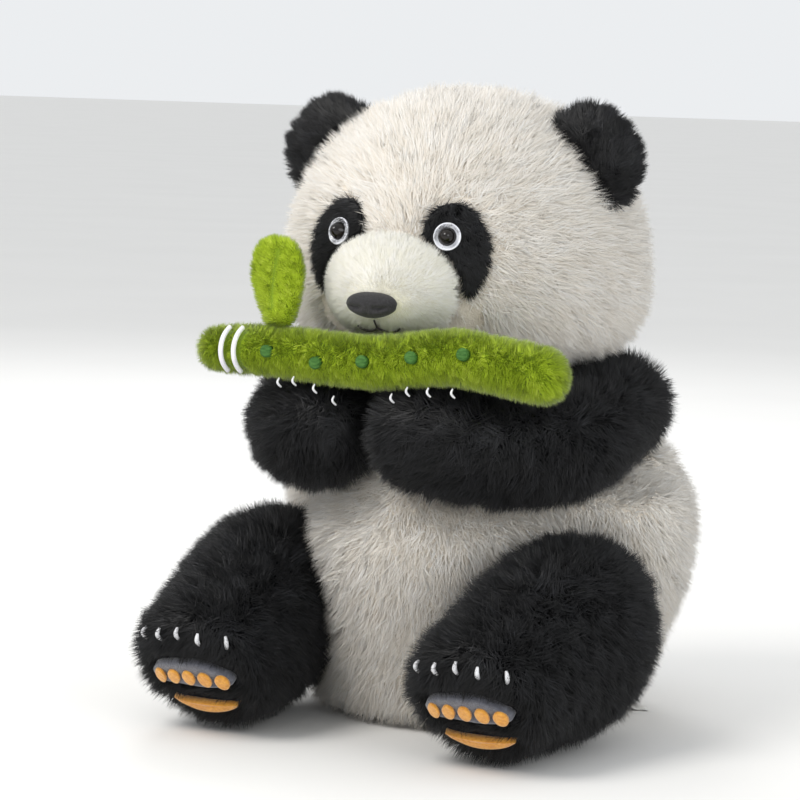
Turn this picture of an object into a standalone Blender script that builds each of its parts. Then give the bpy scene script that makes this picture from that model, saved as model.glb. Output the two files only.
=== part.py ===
"""A seated plush panda that holds a plush bamboo stalk in both paws.

Metres, +Z up.  The panda faces -Y, its own left side is +X, and it rests on Z = 0.  Every sewn panel is a
shell with a seam opening, filled by its own stuffing solid.  The limbs, ears, head and leaf are parented to
empties that stand on their joints' axes.
"""

import math

import bpy
import numpy as np
from mathutils import Vector
from mathutils.bvhtree import BVHTree

# ---------------------------------------------------------------- driving dimensions (metres, degrees)
FABRIC = 0.0030  # pile fabric, backing and flattened root of the pile
THIN_FABRIC = 0.0020  # short pile of the bamboo
SEAM_GAP = 0.0004  # air between two pieces that touch
ROOM = 0.0016  # air between the body and a limb that swings against it

HEAD_CENTRE = (0.0, -0.016, 0.270)
HEAD_HALF_WIDTH = 0.1095
HEAD_HALF_DEPTH = 0.1020
HEAD_RISE = 0.1110  # centre to crown
HEAD_DROP = 0.0600  # centre to chin plane
HEAD_POWER = 2.25  # 2 is an ellipsoid, more is fuller in the cheeks
NECK_HOLE = 0.050

# body outline from the neck seam down to the middle of the base: (radius, height)
BODY_OUTLINE = (
    (0.056, 0.2080),
    (0.078, 0.2080),
    (0.098, 0.2045),
    (0.1150, 0.1920),
    (0.1250, 0.1700),
    (0.1300, 0.1300),
    (0.1270, 0.0850),
    (0.1130, 0.0460),
    (0.1020, 0.0180),
    (0.0900, 0.0030),
    (0.0790, 0.0000),
)
BODY_BACK = 0.0080  # how far the belly's middle lies behind the neck's
BAND_RINGS = 4  # rings of the black shoulder band, counted from the neck
BAND_GAP = 0.0014  # seam between band and body

MUZZLE_CENTRE = (0.0, 0.2680)
MUZZLE_HALF = (0.0450, 0.0350)
MUZZLE_REACH = 0.0200
NOSE_HEIGHT = 0.2595
NOSE_HALF = (0.0165, 0.0078, 0.0075)
EYE_PLACE = (0.0346, 0.2995)
EYE_PATCH_CENTRE = (0.0385, 0.2925)
EYE_PATCH_HALF = (0.0185, 0.0275)
EYE_PATCH_TILT = 16.0
EYE_RADIUS = 0.0064
EYE_RING_RADIUS = 0.0084
STEM_RADIUS = 0.0015
STEM_LENGTH = 0.0125
WASHER_RADIUS = 0.0075
WASHER_SINK = 0.0016  # a flat washer against a curved wall
NOSE_WASHER_SINK = 0.0049  # the muzzle curves away faster

EAR_TOP = (0.0610, 0.3640)
EAR_BOTTOM = (0.1010, 0.3170)
EAR_DEPTH = -0.030
EAR_REACH = 0.0290
EAR_HALF_THICK = 0.0085
EAR_BEND = 12.0
EAR_GAP = 0.0014

SHOULDER_PIVOT = (0.0, 0.020, 0.203)
ARM_SWING = 6.0
LEFT_ARM = (  # x, y, z, radius
    (0.0850, 0.0300, 0.1950, 0.0275),
    (0.0880, -0.0120, 0.1910, 0.0300),
    (0.0895, -0.0530, 0.1815, 0.0315),
    (0.0740, -0.0900, 0.1785, 0.0320),
    (0.0500, -0.1140, 0.1810, 0.0310),
    (0.0300, -0.1240, 0.1845, 0.0290),
)
RIGHT_ARM = (
    (-0.0850, 0.0300, 0.1950, 0.0275),
    (-0.0870, -0.0120, 0.1910, 0.0300),
    (-0.0830, -0.0520, 0.1830, 0.0315),
    (-0.0690, -0.0860, 0.1810, 0.0320),
    (-0.0540, -0.1070, 0.1815, 0.0315),
    (-0.0390, -0.1170, 0.1830, 0.0300),
)
HAND_CLAWS = 4
HAND_CLAW_LENGTH = 0.0075

HIP_PIVOT = (0.1000, -0.040, 0.0720)
HIP_LIFT = 10.0
HIP_DROOP = 2.0
LEG_STATIONS = (  # x, y, z of the section's middle, half width, half height, tilt of the section forward
    (0.1030, -0.0400, 0.0680, 0.0360, 0.0470, 0.0),
    (0.1030, -0.0620, 0.0670, 0.0425, 0.0540, 2.0),
    (0.1000, -0.0850, 0.0645, 0.0440, 0.0550, 8.0),
    (0.0965, -0.1120, 0.0585, 0.0425, 0.0510, 15.0),
    (0.0930, -0.1400, 0.0500, 0.0410, 0.0440, 26.0),
    (0.0910, -0.1620, 0.0440, 0.0400, 0.0425, 36.0),
)
SOLE_TILT = 40.0
SOLE_BULGE = 0.0150
TOE_PATCH_HALF = (0.0255, 0.0110)
HEEL_PAD_HALF = (0.0210, 0.0070)
FOOT_CLAWS = 5
FOOT_CLAW_LENGTH = 0.0085
CLAW_ROW = 0.0075  # how far the row of claws lies above the toe patch's own middle
PATCH_THICK = 0.0014
PATCH_LIFT = 0.0008  # air between a sole patch and the faceted sole

BAMBOO_DEPTH = -0.1410
BAMBOO_RADIUS = 0.0152
BAMBOO_ROUTE = (  # x, z
    (-0.1130, 0.2280),
    (-0.0600, 0.2290),
    (0.0050, 0.2265),
    (0.0550, 0.2330),
    (0.0900, 0.2290),
    (0.1270, 0.2250),
)
LEAF_PLACE = -0.0605
LEAF_HEIGHT = 0.0520
LEAF_HALF_WIDTH = 0.0175
LEAF_HALF_THICK = 0.0042
LEAF_BEND = 15.0
STRIPE_PLACES = (-0.0868, -0.0780)
STRIPE_HALF_WIDTH = 0.0019

PELLET_TOP = 0.0300
PELLET_RADIUS = 0.0440
PELLET_STRETCH = 1.45  # front to back against side to side
TAIL_PLACE = 0.0480
TAIL_HALF = (0.0210, 0.0120, 0.0190)
TAIL_GAP = 0.0028
LABEL_SIZE = (0.0180, 0.0140, 0.0008)
LABEL_TURN = 32.0
LABEL_HEIGHT = 0.0045

# facets round each shape, and rings along it
BODY_SIDES, BODY_RINGS = 32, 18
HEAD_SIDES, HEAD_RINGS = 26, 14
ARM_SIDES, ARM_RINGS = 12, 10
LEG_SIDES, LEG_RINGS = 16, 9
STALK_SIDES, STALK_RINGS = 12, 13
CAP_RINGS = 3
PATCH_SIDES = 18
PAD_SIDES = 16

PIVOTS = {
    "torso": (0.0, 0.0, 0.0),
    "head": (HEAD_CENTRE[0], HEAD_CENTRE[1], HEAD_CENTRE[2] - HEAD_DROP),
    "arm_left": SHOULDER_PIVOT,
    "arm_right": SHOULDER_PIVOT,
    "leg_left": HIP_PIVOT,
    "leg_right": (-HIP_PIVOT[0], HIP_PIVOT[1], HIP_PIVOT[2]),
}
COLOURS = {  # colour, roughness
    "cream_plush": ((0.80, 0.76, 0.66), 0.95),
    "black_plush": ((0.010, 0.011, 0.013), 0.90),
    "green_plush": ((0.30, 0.45, 0.02), 0.92),
    "muzzle_plush": ((0.84, 0.82, 0.70), 0.95),
    "stuffing": ((0.88, 0.88, 0.86), 1.00),
    "pellet_cloth": ((0.75, 0.75, 0.72), 0.95),
    "eye_plastic": ((0.012, 0.010, 0.010), 0.08),
    "ring_plastic": ((0.75, 0.76, 0.80), 0.30),
    "washer_plastic": ((0.85, 0.85, 0.84), 0.45),
    "nose_flock": ((0.035, 0.035, 0.038), 0.75),
    "claw_thread": ((0.62, 0.63, 0.66), 0.35),
    "black_thread": ((0.012, 0.012, 0.012), 0.60),
    "white_thread": ((0.82, 0.80, 0.84), 0.45),
    "grey_felt": ((0.10, 0.105, 0.125), 0.95),
    "orange_felt": ((0.80, 0.33, 0.06), 0.90),
    "label_cloth": ((0.85, 0.85, 0.84), 0.80),
}


# ---------------------------------------------------------------- scene helpers
def clear_scene():
    for item in list(bpy.data.objects):
        bpy.data.objects.remove(item, do_unlink=True)


def material(name):
    made = bpy.data.materials.get(name)
    if made:
        return made
    colour, roughness = COLOURS[name]
    made = bpy.data.materials.new(name)
    made.use_nodes = True
    shader = made.node_tree.nodes["Principled BSDF"]
    shader.inputs["Base Color"].default_value = (*colour, 1.0)
    shader.inputs["Roughness"].default_value = roughness
    shader.inputs["Metallic"].default_value = 0.0
    made.diffuse_color = (*colour, 1.0)
    return made


def pivot_empty(body):
    """The empty on a body's joint axis, which carries that body's pieces."""
    name = body + "_pivot"
    holder = bpy.data.objects.get(name)
    if holder is None:
        holder = bpy.data.objects.new(name, None)
        holder.empty_display_size = 0.02
        holder.location = PIVOTS[body]
        bpy.context.collection.objects.link(holder)
    return holder


def add_piece(name, body, finish, points, faces):
    """Makes one solid from points in the panda's frame and hangs it on its body's pivot."""
    mesh = bpy.data.meshes.new(name)
    local = np.asarray(points, float) - np.array(PIVOTS[body])
    mesh.from_pydata(local.tolist(), [], [list(map(int, f)) for f in faces])
    mesh.validate()
    mesh.shade_smooth()
    mesh.set_sharp_from_angle(angle=math.radians(50))
    mesh.materials.append(material(finish))
    piece = bpy.data.objects.new(name, mesh)
    bpy.context.collection.objects.link(piece)
    piece.parent = pivot_empty(body)
    return piece


def combine(piece, helper, operation):
    """Joins a helper's volume to a piece, or takes it out, with an exact Boolean."""
    helper.hide_render = True
    helper.display_type = "WIRE"
    modifier = piece.modifiers.new(operation.lower(), "BOOLEAN")
    modifier.operation = operation
    modifier.solver = "EXACT"
    modifier.object = helper


# ---------------------------------------------------------------- curves and lofts
def smooth_row(rows, count):
    """Reads count places from a Catmull-Rom curve through the rows of a table."""
    rows = np.asarray(rows, float)
    ends = np.vstack([2 * rows[0] - rows[1], rows, 2 * rows[-1] - rows[-2]])
    places = np.linspace(0, len(rows) - 1, count)
    out = []
    for place in places:
        i = min(int(place), len(rows) - 2)
        t = place - i
        a, b, c, d = ends[i : i + 4]
        out.append(
            0.5 * (2 * b + (c - a) * t + (2 * a - 5 * b + 4 * c - d) * t**2 + (3 * b - a - 3 * c + d) * t**3)
        )
    return np.array(out)


def unit(vector):
    return np.asarray(vector, float) / np.linalg.norm(vector)


class Loft:
    """Rings of points from an open end to a pole; the rings run the same way round."""

    def __init__(self, rings, pole):
        self.rings = np.asarray(rings, float)
        self.pole = np.asarray(pole, float)
        along = np.gradient(self.rings, axis=0)
        around = np.roll(self.rings, -1, axis=1) - np.roll(self.rings, 1, axis=1)
        normals = np.cross(around, along)
        self.normals = normals / np.linalg.norm(normals, axis=2, keepdims=True)
        middle = self.rings.mean(axis=(0, 1))
        if np.mean(np.sum(self.normals * (self.rings - middle), axis=2)) < 0:
            self.normals = -self.normals
        self.end = unit(self.pole - self.rings[-1].mean(axis=0))

    def inset(self, depth):
        return self.rings - self.normals * depth, self.pole - self.end * depth


def ring_faces(first, second, count):
    """Triangles between two rings of count points; nested walls get the same diagonals."""
    faces = []
    for i in range(count):
        j = (i + 1) % count
        faces.append((first + i, first + j, second + j))
        faces.append((first + i, second + j, second + i))
    return faces


def turned_out(points, faces):
    """Flips all faces if the closed body's volume comes out negative."""
    volume = 0.0
    for face in faces:
        corner = points[face[0]]
        for k in range(1, len(face) - 1):
            volume += np.dot(corner, np.cross(points[face[k]], points[face[k + 1]]))
    return faces if volume > 0 else [tuple(reversed(f)) for f in faces]


def solid_from(rings, pole, foot=None):
    """A closed body: the rings, a fan on the pole, and a fan to the foot over the open end."""
    count = rings.shape[1]
    if foot is None:
        foot = rings[0].mean(axis=0)
    points = np.vstack([rings.reshape(-1, 3), pole[None], foot[None]])
    faces = []
    for k in range(len(rings) - 1):
        faces += ring_faces(k * count, (k + 1) * count, count)
    last = (len(rings) - 1) * count
    top = len(rings) * count
    for i in range(count):
        faces.append((last + i, last + (i + 1) % count, top))
        faces.append((top + 1, (i + 1) % count, i))
    return points, turned_out(points, faces)


def cup_from(outer, outer_pole, inner, inner_pole):
    """A shell with one opening: outer wall, inner wall, and the rim between their first rings."""
    count = outer.shape[1]
    total = len(outer)
    shift = total * count + 1
    points = np.vstack([outer.reshape(-1, 3), outer_pole[None], inner.reshape(-1, 3), inner_pole[None]])
    faces = []
    for k in range(total - 1):
        faces += ring_faces(k * count, (k + 1) * count, count)
        faces += [tuple(reversed(f)) for f in ring_faces(shift + k * count, shift + (k + 1) * count, count)]
    last = (total - 1) * count
    for i in range(count):
        j = (i + 1) % count
        faces.append((last + i, last + j, shift - 1))
        faces.append((shift + last + j, shift + last + i, shift + total * count))
        faces.append((j, i, shift + i, shift + j))
    return points, turned_out(points, faces)


def band_from(outer, inner):
    """A shell open at both ends."""
    count = outer.shape[1]
    total = len(outer)
    shift = total * count
    points = np.vstack([outer.reshape(-1, 3), inner.reshape(-1, 3)])
    faces = []
    for k in range(total - 1):
        faces += ring_faces(k * count, (k + 1) * count, count)
        faces += [tuple(reversed(f)) for f in ring_faces(shift + k * count, shift + (k + 1) * count, count)]
    last = (total - 1) * count
    for i in range(count):
        j = (i + 1) % count
        faces.append((j, i, shift + i, shift + j))
        faces.append((last + i, last + j, shift + last + j, shift + last + i))
    return points, turned_out(points, faces)


def mirrored(points, faces):
    return np.asarray(points) * np.array([-1.0, 1.0, 1.0]), [tuple(reversed(f)) for f in faces]


def round_cap(radius_steps):
    """Shares of radius and reach for the rings that round off a limb's end."""
    angles = np.linspace(0, math.pi / 2, radius_steps + 1)[1:-1]
    return [(math.cos(a), math.sin(a)) for a in angles]


def turn_about_x(points, pivot, degrees):
    """Turns points about the line through pivot along +X."""
    a = math.radians(degrees)
    moved = np.asarray(points, float) - np.array(pivot)
    turned = moved.copy()
    turned[..., 1] = moved[..., 1] * math.cos(a) - moved[..., 2] * math.sin(a)
    turned[..., 2] = moved[..., 1] * math.sin(a) + moved[..., 2] * math.cos(a)
    return turned + np.array(pivot)


# ---------------------------------------------------------------- head surface
def head_level(point):
    """Below 1 inside the head, 1 on its surface."""
    x, y, z = np.asarray(point, float) - np.array(HEAD_CENTRE)
    across = math.hypot(x / HEAD_HALF_WIDTH, y / HEAD_HALF_DEPTH)
    up = abs(z) / (HEAD_RISE if z > 0 else HEAD_DROP)
    return (across**HEAD_POWER + up**HEAD_POWER) ** (1 / HEAD_POWER)


def head_normal(point):
    step = 1e-4
    return unit(
        [
            head_level(point + step * axis) - head_level(point - step * axis)
            for axis in np.eye(3)
        ]
    )


def along_to_head(start, direction):
    """The distance from a start inside the head to its surface along a direction."""
    low, high = 0.0, 0.3
    for _ in range(50):
        middle = (low + high) / 2
        if head_level(np.asarray(start) + middle * np.asarray(direction)) < 1:
            low = middle
        else:
            high = middle
    return low


def face_point(x, z, out=0.0):
    """The point of the face at x and z, raised from the surface by out."""
    start = np.array([x, HEAD_CENTRE[1], z])
    point = start + along_to_head(start, (0, -1, 0)) * np.array([0, -1.0, 0])
    return point + out * head_normal(point)


def muzzle_point(x, z, out=0.0):
    """The point of the muzzle's dome at x and z, raised by out."""
    u = (x - MUZZLE_CENTRE[0]) / MUZZLE_HALF[0]
    v = (z - MUZZLE_CENTRE[1]) / MUZZLE_HALF[1]
    rise = max(1 - u * u - v * v, 0.0) ** 0.62
    return face_point(x, z) + np.array([0, -1.0, 0]) * (MUZZLE_REACH * rise + out)


# ---------------------------------------------------------------- patches
def patch_solid(place, centre, outline, layers, lower, upper, count=PATCH_SIDES):
    """A pad on a surface: place(x, z, out) gives points; lower and upper give its two sides' heights.

    outline(angle) is the edge's offset from the centre; layers are the shares of it that carry a ring.
    """
    angles = [2 * math.pi * i / count for i in range(count)]

    def ring(share, height):
        return [
            place(centre[0] + share * outline(a)[0], centre[1] + share * outline(a)[1], height(share))
            for a in angles
        ]

    rings = [ring(share, lower) for share in reversed(layers)] + [ring(share, upper) for share in layers]
    points = np.array(rings).reshape(-1, 3).tolist()
    points.append(place(centre[0], centre[1], lower(0.0)))
    points.append(place(centre[0], centre[1], upper(0.0)))
    points = np.array(points)
    faces = []
    for k in range(len(rings) - 1):
        faces += ring_faces(k * count, (k + 1) * count, count)
    last = (len(rings) - 1) * count
    middle = len(rings) * count
    for i in range(count):
        j = (i + 1) % count
        faces.append((middle, j, i))
        faces.append((last + i, last + j, middle + 1))
    return points, turned_out(points, faces)


def oval(half_width, half_height, tilt=0.0):
    """An ellipse's outline, turned by tilt degrees."""
    turn = math.radians(tilt)

    def edge(angle):
        x = half_width * math.cos(angle)
        z = half_height * math.sin(angle)
        return (x * math.cos(turn) - z * math.sin(turn), x * math.sin(turn) + z * math.cos(turn))

    return edge


def teardrop(half_width, half_height, tilt):
    """An eye patch's outline: round above, drawn to a point below."""
    turn = math.radians(tilt)

    def edge(angle):
        narrow = 1 - 0.34 * max(0.0, -math.sin(angle)) ** 1.5
        x = half_width * narrow * math.cos(angle)
        z = half_height * math.sin(angle)
        return (x * math.cos(turn) - z * math.sin(turn), x * math.sin(turn) + z * math.cos(turn))

    return edge


def turned_solid(profile, origin, axis, count=12):
    """A turned body about an axis; the profile holds (radius, height) from pole to pole."""
    axis = unit(axis)
    side = unit(np.cross(axis, (0, 0, 1.0) if abs(axis[2]) < 0.9 else (1.0, 0, 0)))
    other = np.cross(axis, side)
    origin = np.asarray(origin, float)
    rings = []
    for radius, height in profile[1:-1]:
        rings.append(
            [
                origin
                + axis * height
                + radius * (math.cos(math.tau * i / count) * side + math.sin(math.tau * i / count) * other)
                for i in range(count)
            ]
        )
    points = np.vstack(
        [np.array(rings).reshape(-1, 3), [origin + axis * profile[0][1]], [origin + axis * profile[-1][1]]]
    )
    faces = []
    for k in range(len(rings) - 1):
        faces += ring_faces(k * count, (k + 1) * count, count)
    last = (len(rings) - 1) * count
    end = len(rings) * count
    for i in range(count):
        j = (i + 1) % count
        faces.append((end, j, i))
        faces.append((last + i, last + j, end + 1))
    return points, turned_out(points, faces)


# ---------------------------------------------------------------- limbs
def arm_loft(stations, rings=ARM_RINGS, count=ARM_SIDES):
    """A round sleeve along the arm's route with a rounded hand and a rounded shoulder end."""
    rows = smooth_row(stations, rings)
    route, radii = rows[:, :3], rows[:, 3]
    tangents = np.gradient(route, axis=0)
    tangents /= np.linalg.norm(tangents, axis=1, keepdims=True)
    sections = []
    for share, reach in reversed(round_cap(CAP_RINGS + 1)):
        sections.append((route[0] - tangents[0] * radii[0] * reach, tangents[0], radii[0] * share))
    for middle, tangent, radius in zip(route, tangents, radii):
        sections.append((middle, tangent, radius))
    for share, reach in round_cap(CAP_RINGS + 1):
        sections.append((route[-1] + tangents[-1] * radii[-1] * reach, tangents[-1], radii[-1] * share))
    out = []
    for middle, tangent, radius in sections:
        side = unit(np.cross(tangent, (0, 0, 1.0)))
        up = np.cross(side, tangent)
        out.append(
            [
                middle
                + radius * (math.cos(2 * math.pi * i / count) * side + math.sin(2 * math.pi * i / count) * up)
                for i in range(count)
            ]
        )
    return Loft(out, route[-1] + tangents[-1] * radii[-1])


def leg_loft(rings=LEG_RINGS, count=LEG_SIDES):
    """The left leg: a deep thigh that turns down into a sole facing forward and down, flat on the ground."""
    rows = smooth_row(LEG_STATIONS, rings)
    sections = []
    start = rows[0]
    for share, reach in reversed(round_cap(CAP_RINGS + 1)):
        back = start.copy()
        back[1] += start[3] * reach * 0.8
        back[3] *= share
        back[4] *= share
        sections.append(back)
    sections += list(rows)
    end = rows[-1]
    tilt = math.radians(SOLE_TILT)
    forward = np.array([0, -math.cos(tilt), -math.sin(tilt)])
    for share, reach in round_cap(CAP_RINGS + 1):
        front = end.copy()
        front[:3] += forward * (SOLE_BULGE + 0.004) * reach
        front[3] *= share**0.55
        front[4] *= share**0.55
        front[5] = SOLE_TILT
        sections.append(front)
    out = []
    for x, y, z, width, height, lean in sections:
        a = math.radians(lean)
        up = np.array([0, -math.sin(a), math.cos(a)])
        ring = []
        for i in range(count):
            angle = 2 * math.pi * i / count
            point = np.array([x + width * math.cos(angle), y, z]) + up * height * math.sin(angle)
            point[2] = max(point[2], 0.0)
            ring.append(point)
        out.append(ring)
    pole = end[:3] + forward * (SOLE_BULGE + 0.0045)
    return Loft(out, pole)


class Surface:
    """Nearest-point questions on a limb's outer face."""

    def __init__(self, points, faces):
        self.tree = BVHTree.FromPolygons([Vector(p) for p in points], [list(map(int, f)) for f in faces])

    def depth(self, point):
        """Signed distance: negative inside."""
        place, normal, _, away = self.tree.find_nearest(Vector(point))
        return away if (Vector(point) - place).dot(normal) >= 0 else -away

    def hit(self, start, direction):
        place, normal, _, _ = self.tree.ray_cast(Vector(start), Vector(direction))
        return np.array(place), np.array(normal)


def claw(origin, direction, outward, length):
    """A short tapered claw that lies along a direction and curls off the surface at its tip."""
    count = 5
    direction = unit(direction)
    outward = unit(outward)
    side = np.cross(direction, outward)
    rings = []
    radius = 0.0009
    for place in (0.0, 0.35, 0.75):
        middle = origin + direction * length * (place - 0.5) + outward * (0.0006 * place**2)
        here = radius * (1 - 0.55 * place)
        rings.append(
            [
                middle
                + here * (math.cos(math.tau * i / count) * side + math.sin(math.tau * i / count) * outward)
                for i in range(count)
            ]
        )
    tip = origin + direction * length * 0.5 + outward * 0.0008
    return solid_from(np.array(rings), tip)


def add_claws(prefix, body, surface, starts, aims, downs, length):
    """One claw where each ray meets the limb."""
    for k, (start, aim, down) in enumerate(zip(starts, aims, downs), 1):
        place, normal = surface.hit(start, aim)
        direction = unit(np.asarray(down) - np.dot(down, normal) * normal)
        origin = place + normal * (0.0009 + 1.6 * SEAM_GAP)
        add_piece(f"{prefix}_{k}", body, "claw_thread", *claw(origin, direction, normal, length))


# ---------------------------------------------------------------- sub-parts
def make_arms():
    """Both arms, their stuffing and claws; gives the outer surfaces at rest and over the swing."""
    sweeps = []
    for side, stations in (("left", LEFT_ARM), ("right", RIGHT_ARM)):
        body = "arm_" + side
        loft = arm_loft(stations)
        inner, inner_pole = loft.inset(FABRIC)
        add_piece(body + "_shell", body, "black_plush", *cup_from(loft.rings, loft.pole, inner, inner_pole))
        core, core_pole = loft.inset(FABRIC + SEAM_GAP)
        add_piece(body + "_stuffing", body, "stuffing", *solid_from(core, core_pole))
        points, faces = solid_from(loft.rings, loft.pole)
        surface = Surface(points, faces)
        hand = np.array(stations[-1][:3])
        wrist = np.array(stations[-2][:3])
        starts, aims, downs = [], [], []
        for k in range(HAND_CLAWS):
            share = k / (HAND_CLAWS - 1)
            middle = hand + (wrist - hand) * (1.15 * share - 0.30)
            aim = unit([0.0, 0.72 + 0.1 * share, -0.62])
            starts.append(middle - aim * 0.06)
            aims.append(aim)
            downs.append((0.0, -0.3, -1.0))
        add_claws("claw_paw_" + side, body, surface, starts, aims, downs, HAND_CLAW_LENGTH)
        for degrees in (0.0, ARM_SWING / 2, ARM_SWING):
            sweeps.append(Surface(turn_about_x(points, SHOULDER_PIVOT, degrees), faces))
    return sweeps


def sole_frame():
    """Origin and axes of the left sole's face: across, up the sole, and out of it."""
    tilt = math.radians(SOLE_TILT)
    out = np.array([0, -math.cos(tilt), -math.sin(tilt)])
    up = np.array([0, -math.sin(tilt), math.cos(tilt)])
    return np.array(LEG_STATIONS[-1][:3]), np.array([1.0, 0, 0]), up, out


def kidney(half_width, half_height):
    """A toe patch's outline: a bowed bean, higher in the middle of its top edge."""

    def edge(angle):
        x = half_width * math.cos(angle)
        bow = 0.28 * half_height * (1 - (x / half_width) ** 2)
        z = half_height * 0.8 * math.sin(angle) + bow
        return (x, z)

    return edge


def make_legs():
    """Both legs with their stuffing, sole patches and claws, and the surfaces that they sweep."""
    loft = leg_loft()
    inner, inner_pole = loft.inset(FABRIC)
    core, core_pole = loft.inset(FABRIC + SEAM_GAP)
    shell = cup_from(loft.rings, loft.pole, inner, inner_pole)
    stuffing = solid_from(core, core_pole)
    points, faces = solid_from(loft.rings, loft.pole)
    surface = Surface(points, faces)
    origin, across, up, out = sole_frame()

    def on_sole(u, v, height):
        start = origin + across * u + up * v + out * 0.08
        place, normal = surface.hit(start, -out)
        return place + out * height

    layers = (1.0, 0.7)
    toe = patch_solid(
        on_sole,
        (0.0, 0.0040),
        kidney(*TOE_PATCH_HALF),
        layers,
        lambda share: PATCH_LIFT,
        lambda share: PATCH_LIFT + PATCH_THICK * (0.6 + 0.4 * (1 - share**2)),
        PAD_SIDES,
    )
    heel = patch_solid(
        on_sole,
        (0.0, -0.0185),
        oval(*HEEL_PAD_HALF),
        layers,
        lambda share: PATCH_LIFT,
        lambda share: PATCH_LIFT + PATCH_THICK * (0.6 + 0.4 * (1 - share**2)),
        PAD_SIDES,
    )
    sweeps = []
    for side, flip in (("left", False), ("right", True)):
        body = "leg_" + side
        for name, finish, solid in (
            ("shell", "black_plush", shell),
            ("stuffing", "stuffing", stuffing),
            ("toe_patch", "grey_felt", toe),
            ("heel_pad", "orange_felt", heel),
        ):
            add_piece(f"{body}_{name}", body, finish, *(mirrored(*solid) if flip else solid))
        limb_points, limb_faces = mirrored(points, faces) if flip else (points, faces)
        limb = Surface(limb_points, limb_faces)
        sign = -1.0 if flip else 1.0
        starts, aims, downs = [], [], []
        for k in range(FOOT_CLAWS):
            u = 0.0235 * (2 * k / (FOOT_CLAWS - 1) - 1)
            middle = origin + across * u + up * (CLAW_ROW + 0.0265 - 14.0 * u * u)
            middle[0] *= sign
            starts.append(middle + out * 0.08)
            aims.append(-out)
            downs.append((0.0, -0.2, -1.0))
        add_claws("claw_foot_" + side, body, limb, starts, aims, downs, FOOT_CLAW_LENGTH)
        pivot = PIVOTS[body]
        for degrees in (-HIP_LIFT, -HIP_LIFT / 2, 0.0, HIP_DROOP):
            sweeps.append(Surface(turn_about_x(limb_points, pivot, degrees), limb_faces))
    return sweeps


def inwards(point):
    """The way the soft wall gives at a point: towards the torso's middle line."""
    return unit(np.array([0.0, 0.0, min(max(point[2], 0.05), 0.16)]) - point)


def nearest_limb(point, limbs):
    return min(limb.depth(point) for limb in limbs)


def pressed_in(rings, limbs, room):
    """Presses the body's wall inwards wherever a limb lies or swings, as the soft body gives way."""
    pressed = rings.copy()
    for ring in pressed:
        for i, point in enumerate(ring):
            here = point.copy()
            for _ in range(140):
                nearest = nearest_limb(here, limbs)
                if nearest >= room:
                    break
                here = here + inwards(point) * max(0.0005, 0.5 * (room - nearest))
            ring[i] = here
    return pressed


def facets_cleared(rings, limbs, room, rounds=20, splits=4, reach=1.0):
    """Moves corners further in until the facets between them, where within reach, are clear of the limbs."""
    clear = rings.copy()
    count = clear.shape[1]
    shares = [(a, b, splits - a - b) for a in range(splits + 1) for b in range(splits + 1 - a)]
    for _ in range(rounds):
        push = np.zeros(clear.shape[:2])
        for k in range(len(clear) - 1):
            for i in range(count):
                j = (i + 1) % count
                if nearest_limb((clear[k, i] + clear[k + 1, j]) / 2, limbs) > 0.025:
                    continue
                for corners in (((k, i), (k, j), (k + 1, j)), ((k, i), (k + 1, j), (k + 1, i))):
                    for share in shares:
                        point = sum(clear[c] * part for c, part in zip(corners, share)) / splits
                        lack = room - nearest_limb(point, limbs)
                        for c, part in zip(corners, share):
                            if part and lack < reach:
                                push[c] = max(push[c], lack)
        if push.max() <= 0:
            break
        for k in range(len(clear)):
            for i in range(count):
                if push[k, i] > 0:
                    clear[k, i] += inwards(clear[k, i]) * (push[k, i] * 0.7 + 0.0001)
    return clear


def eased(rings, before, limbs, room, rounds=3):
    """Softens the dents' edges without pushing the wall back into a limb."""
    soft = rings.copy()
    for _ in range(rounds):
        mean = soft.copy()
        mean[1:-1] = (
            soft[:-2] + soft[2:] + np.roll(soft, 1, axis=1)[1:-1] + np.roll(soft, -1, axis=1)[1:-1]
        ) / 4
        moved = np.linalg.norm(soft - before, axis=2, keepdims=True) > 1e-5
        near = moved | np.roll(moved, 1, axis=1) | np.roll(moved, -1, axis=1)
        soft = np.where(near, 0.5 * soft + 0.5 * mean, soft)
    return facets_cleared(pressed_in(soft, limbs, room), limbs, room)


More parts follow.
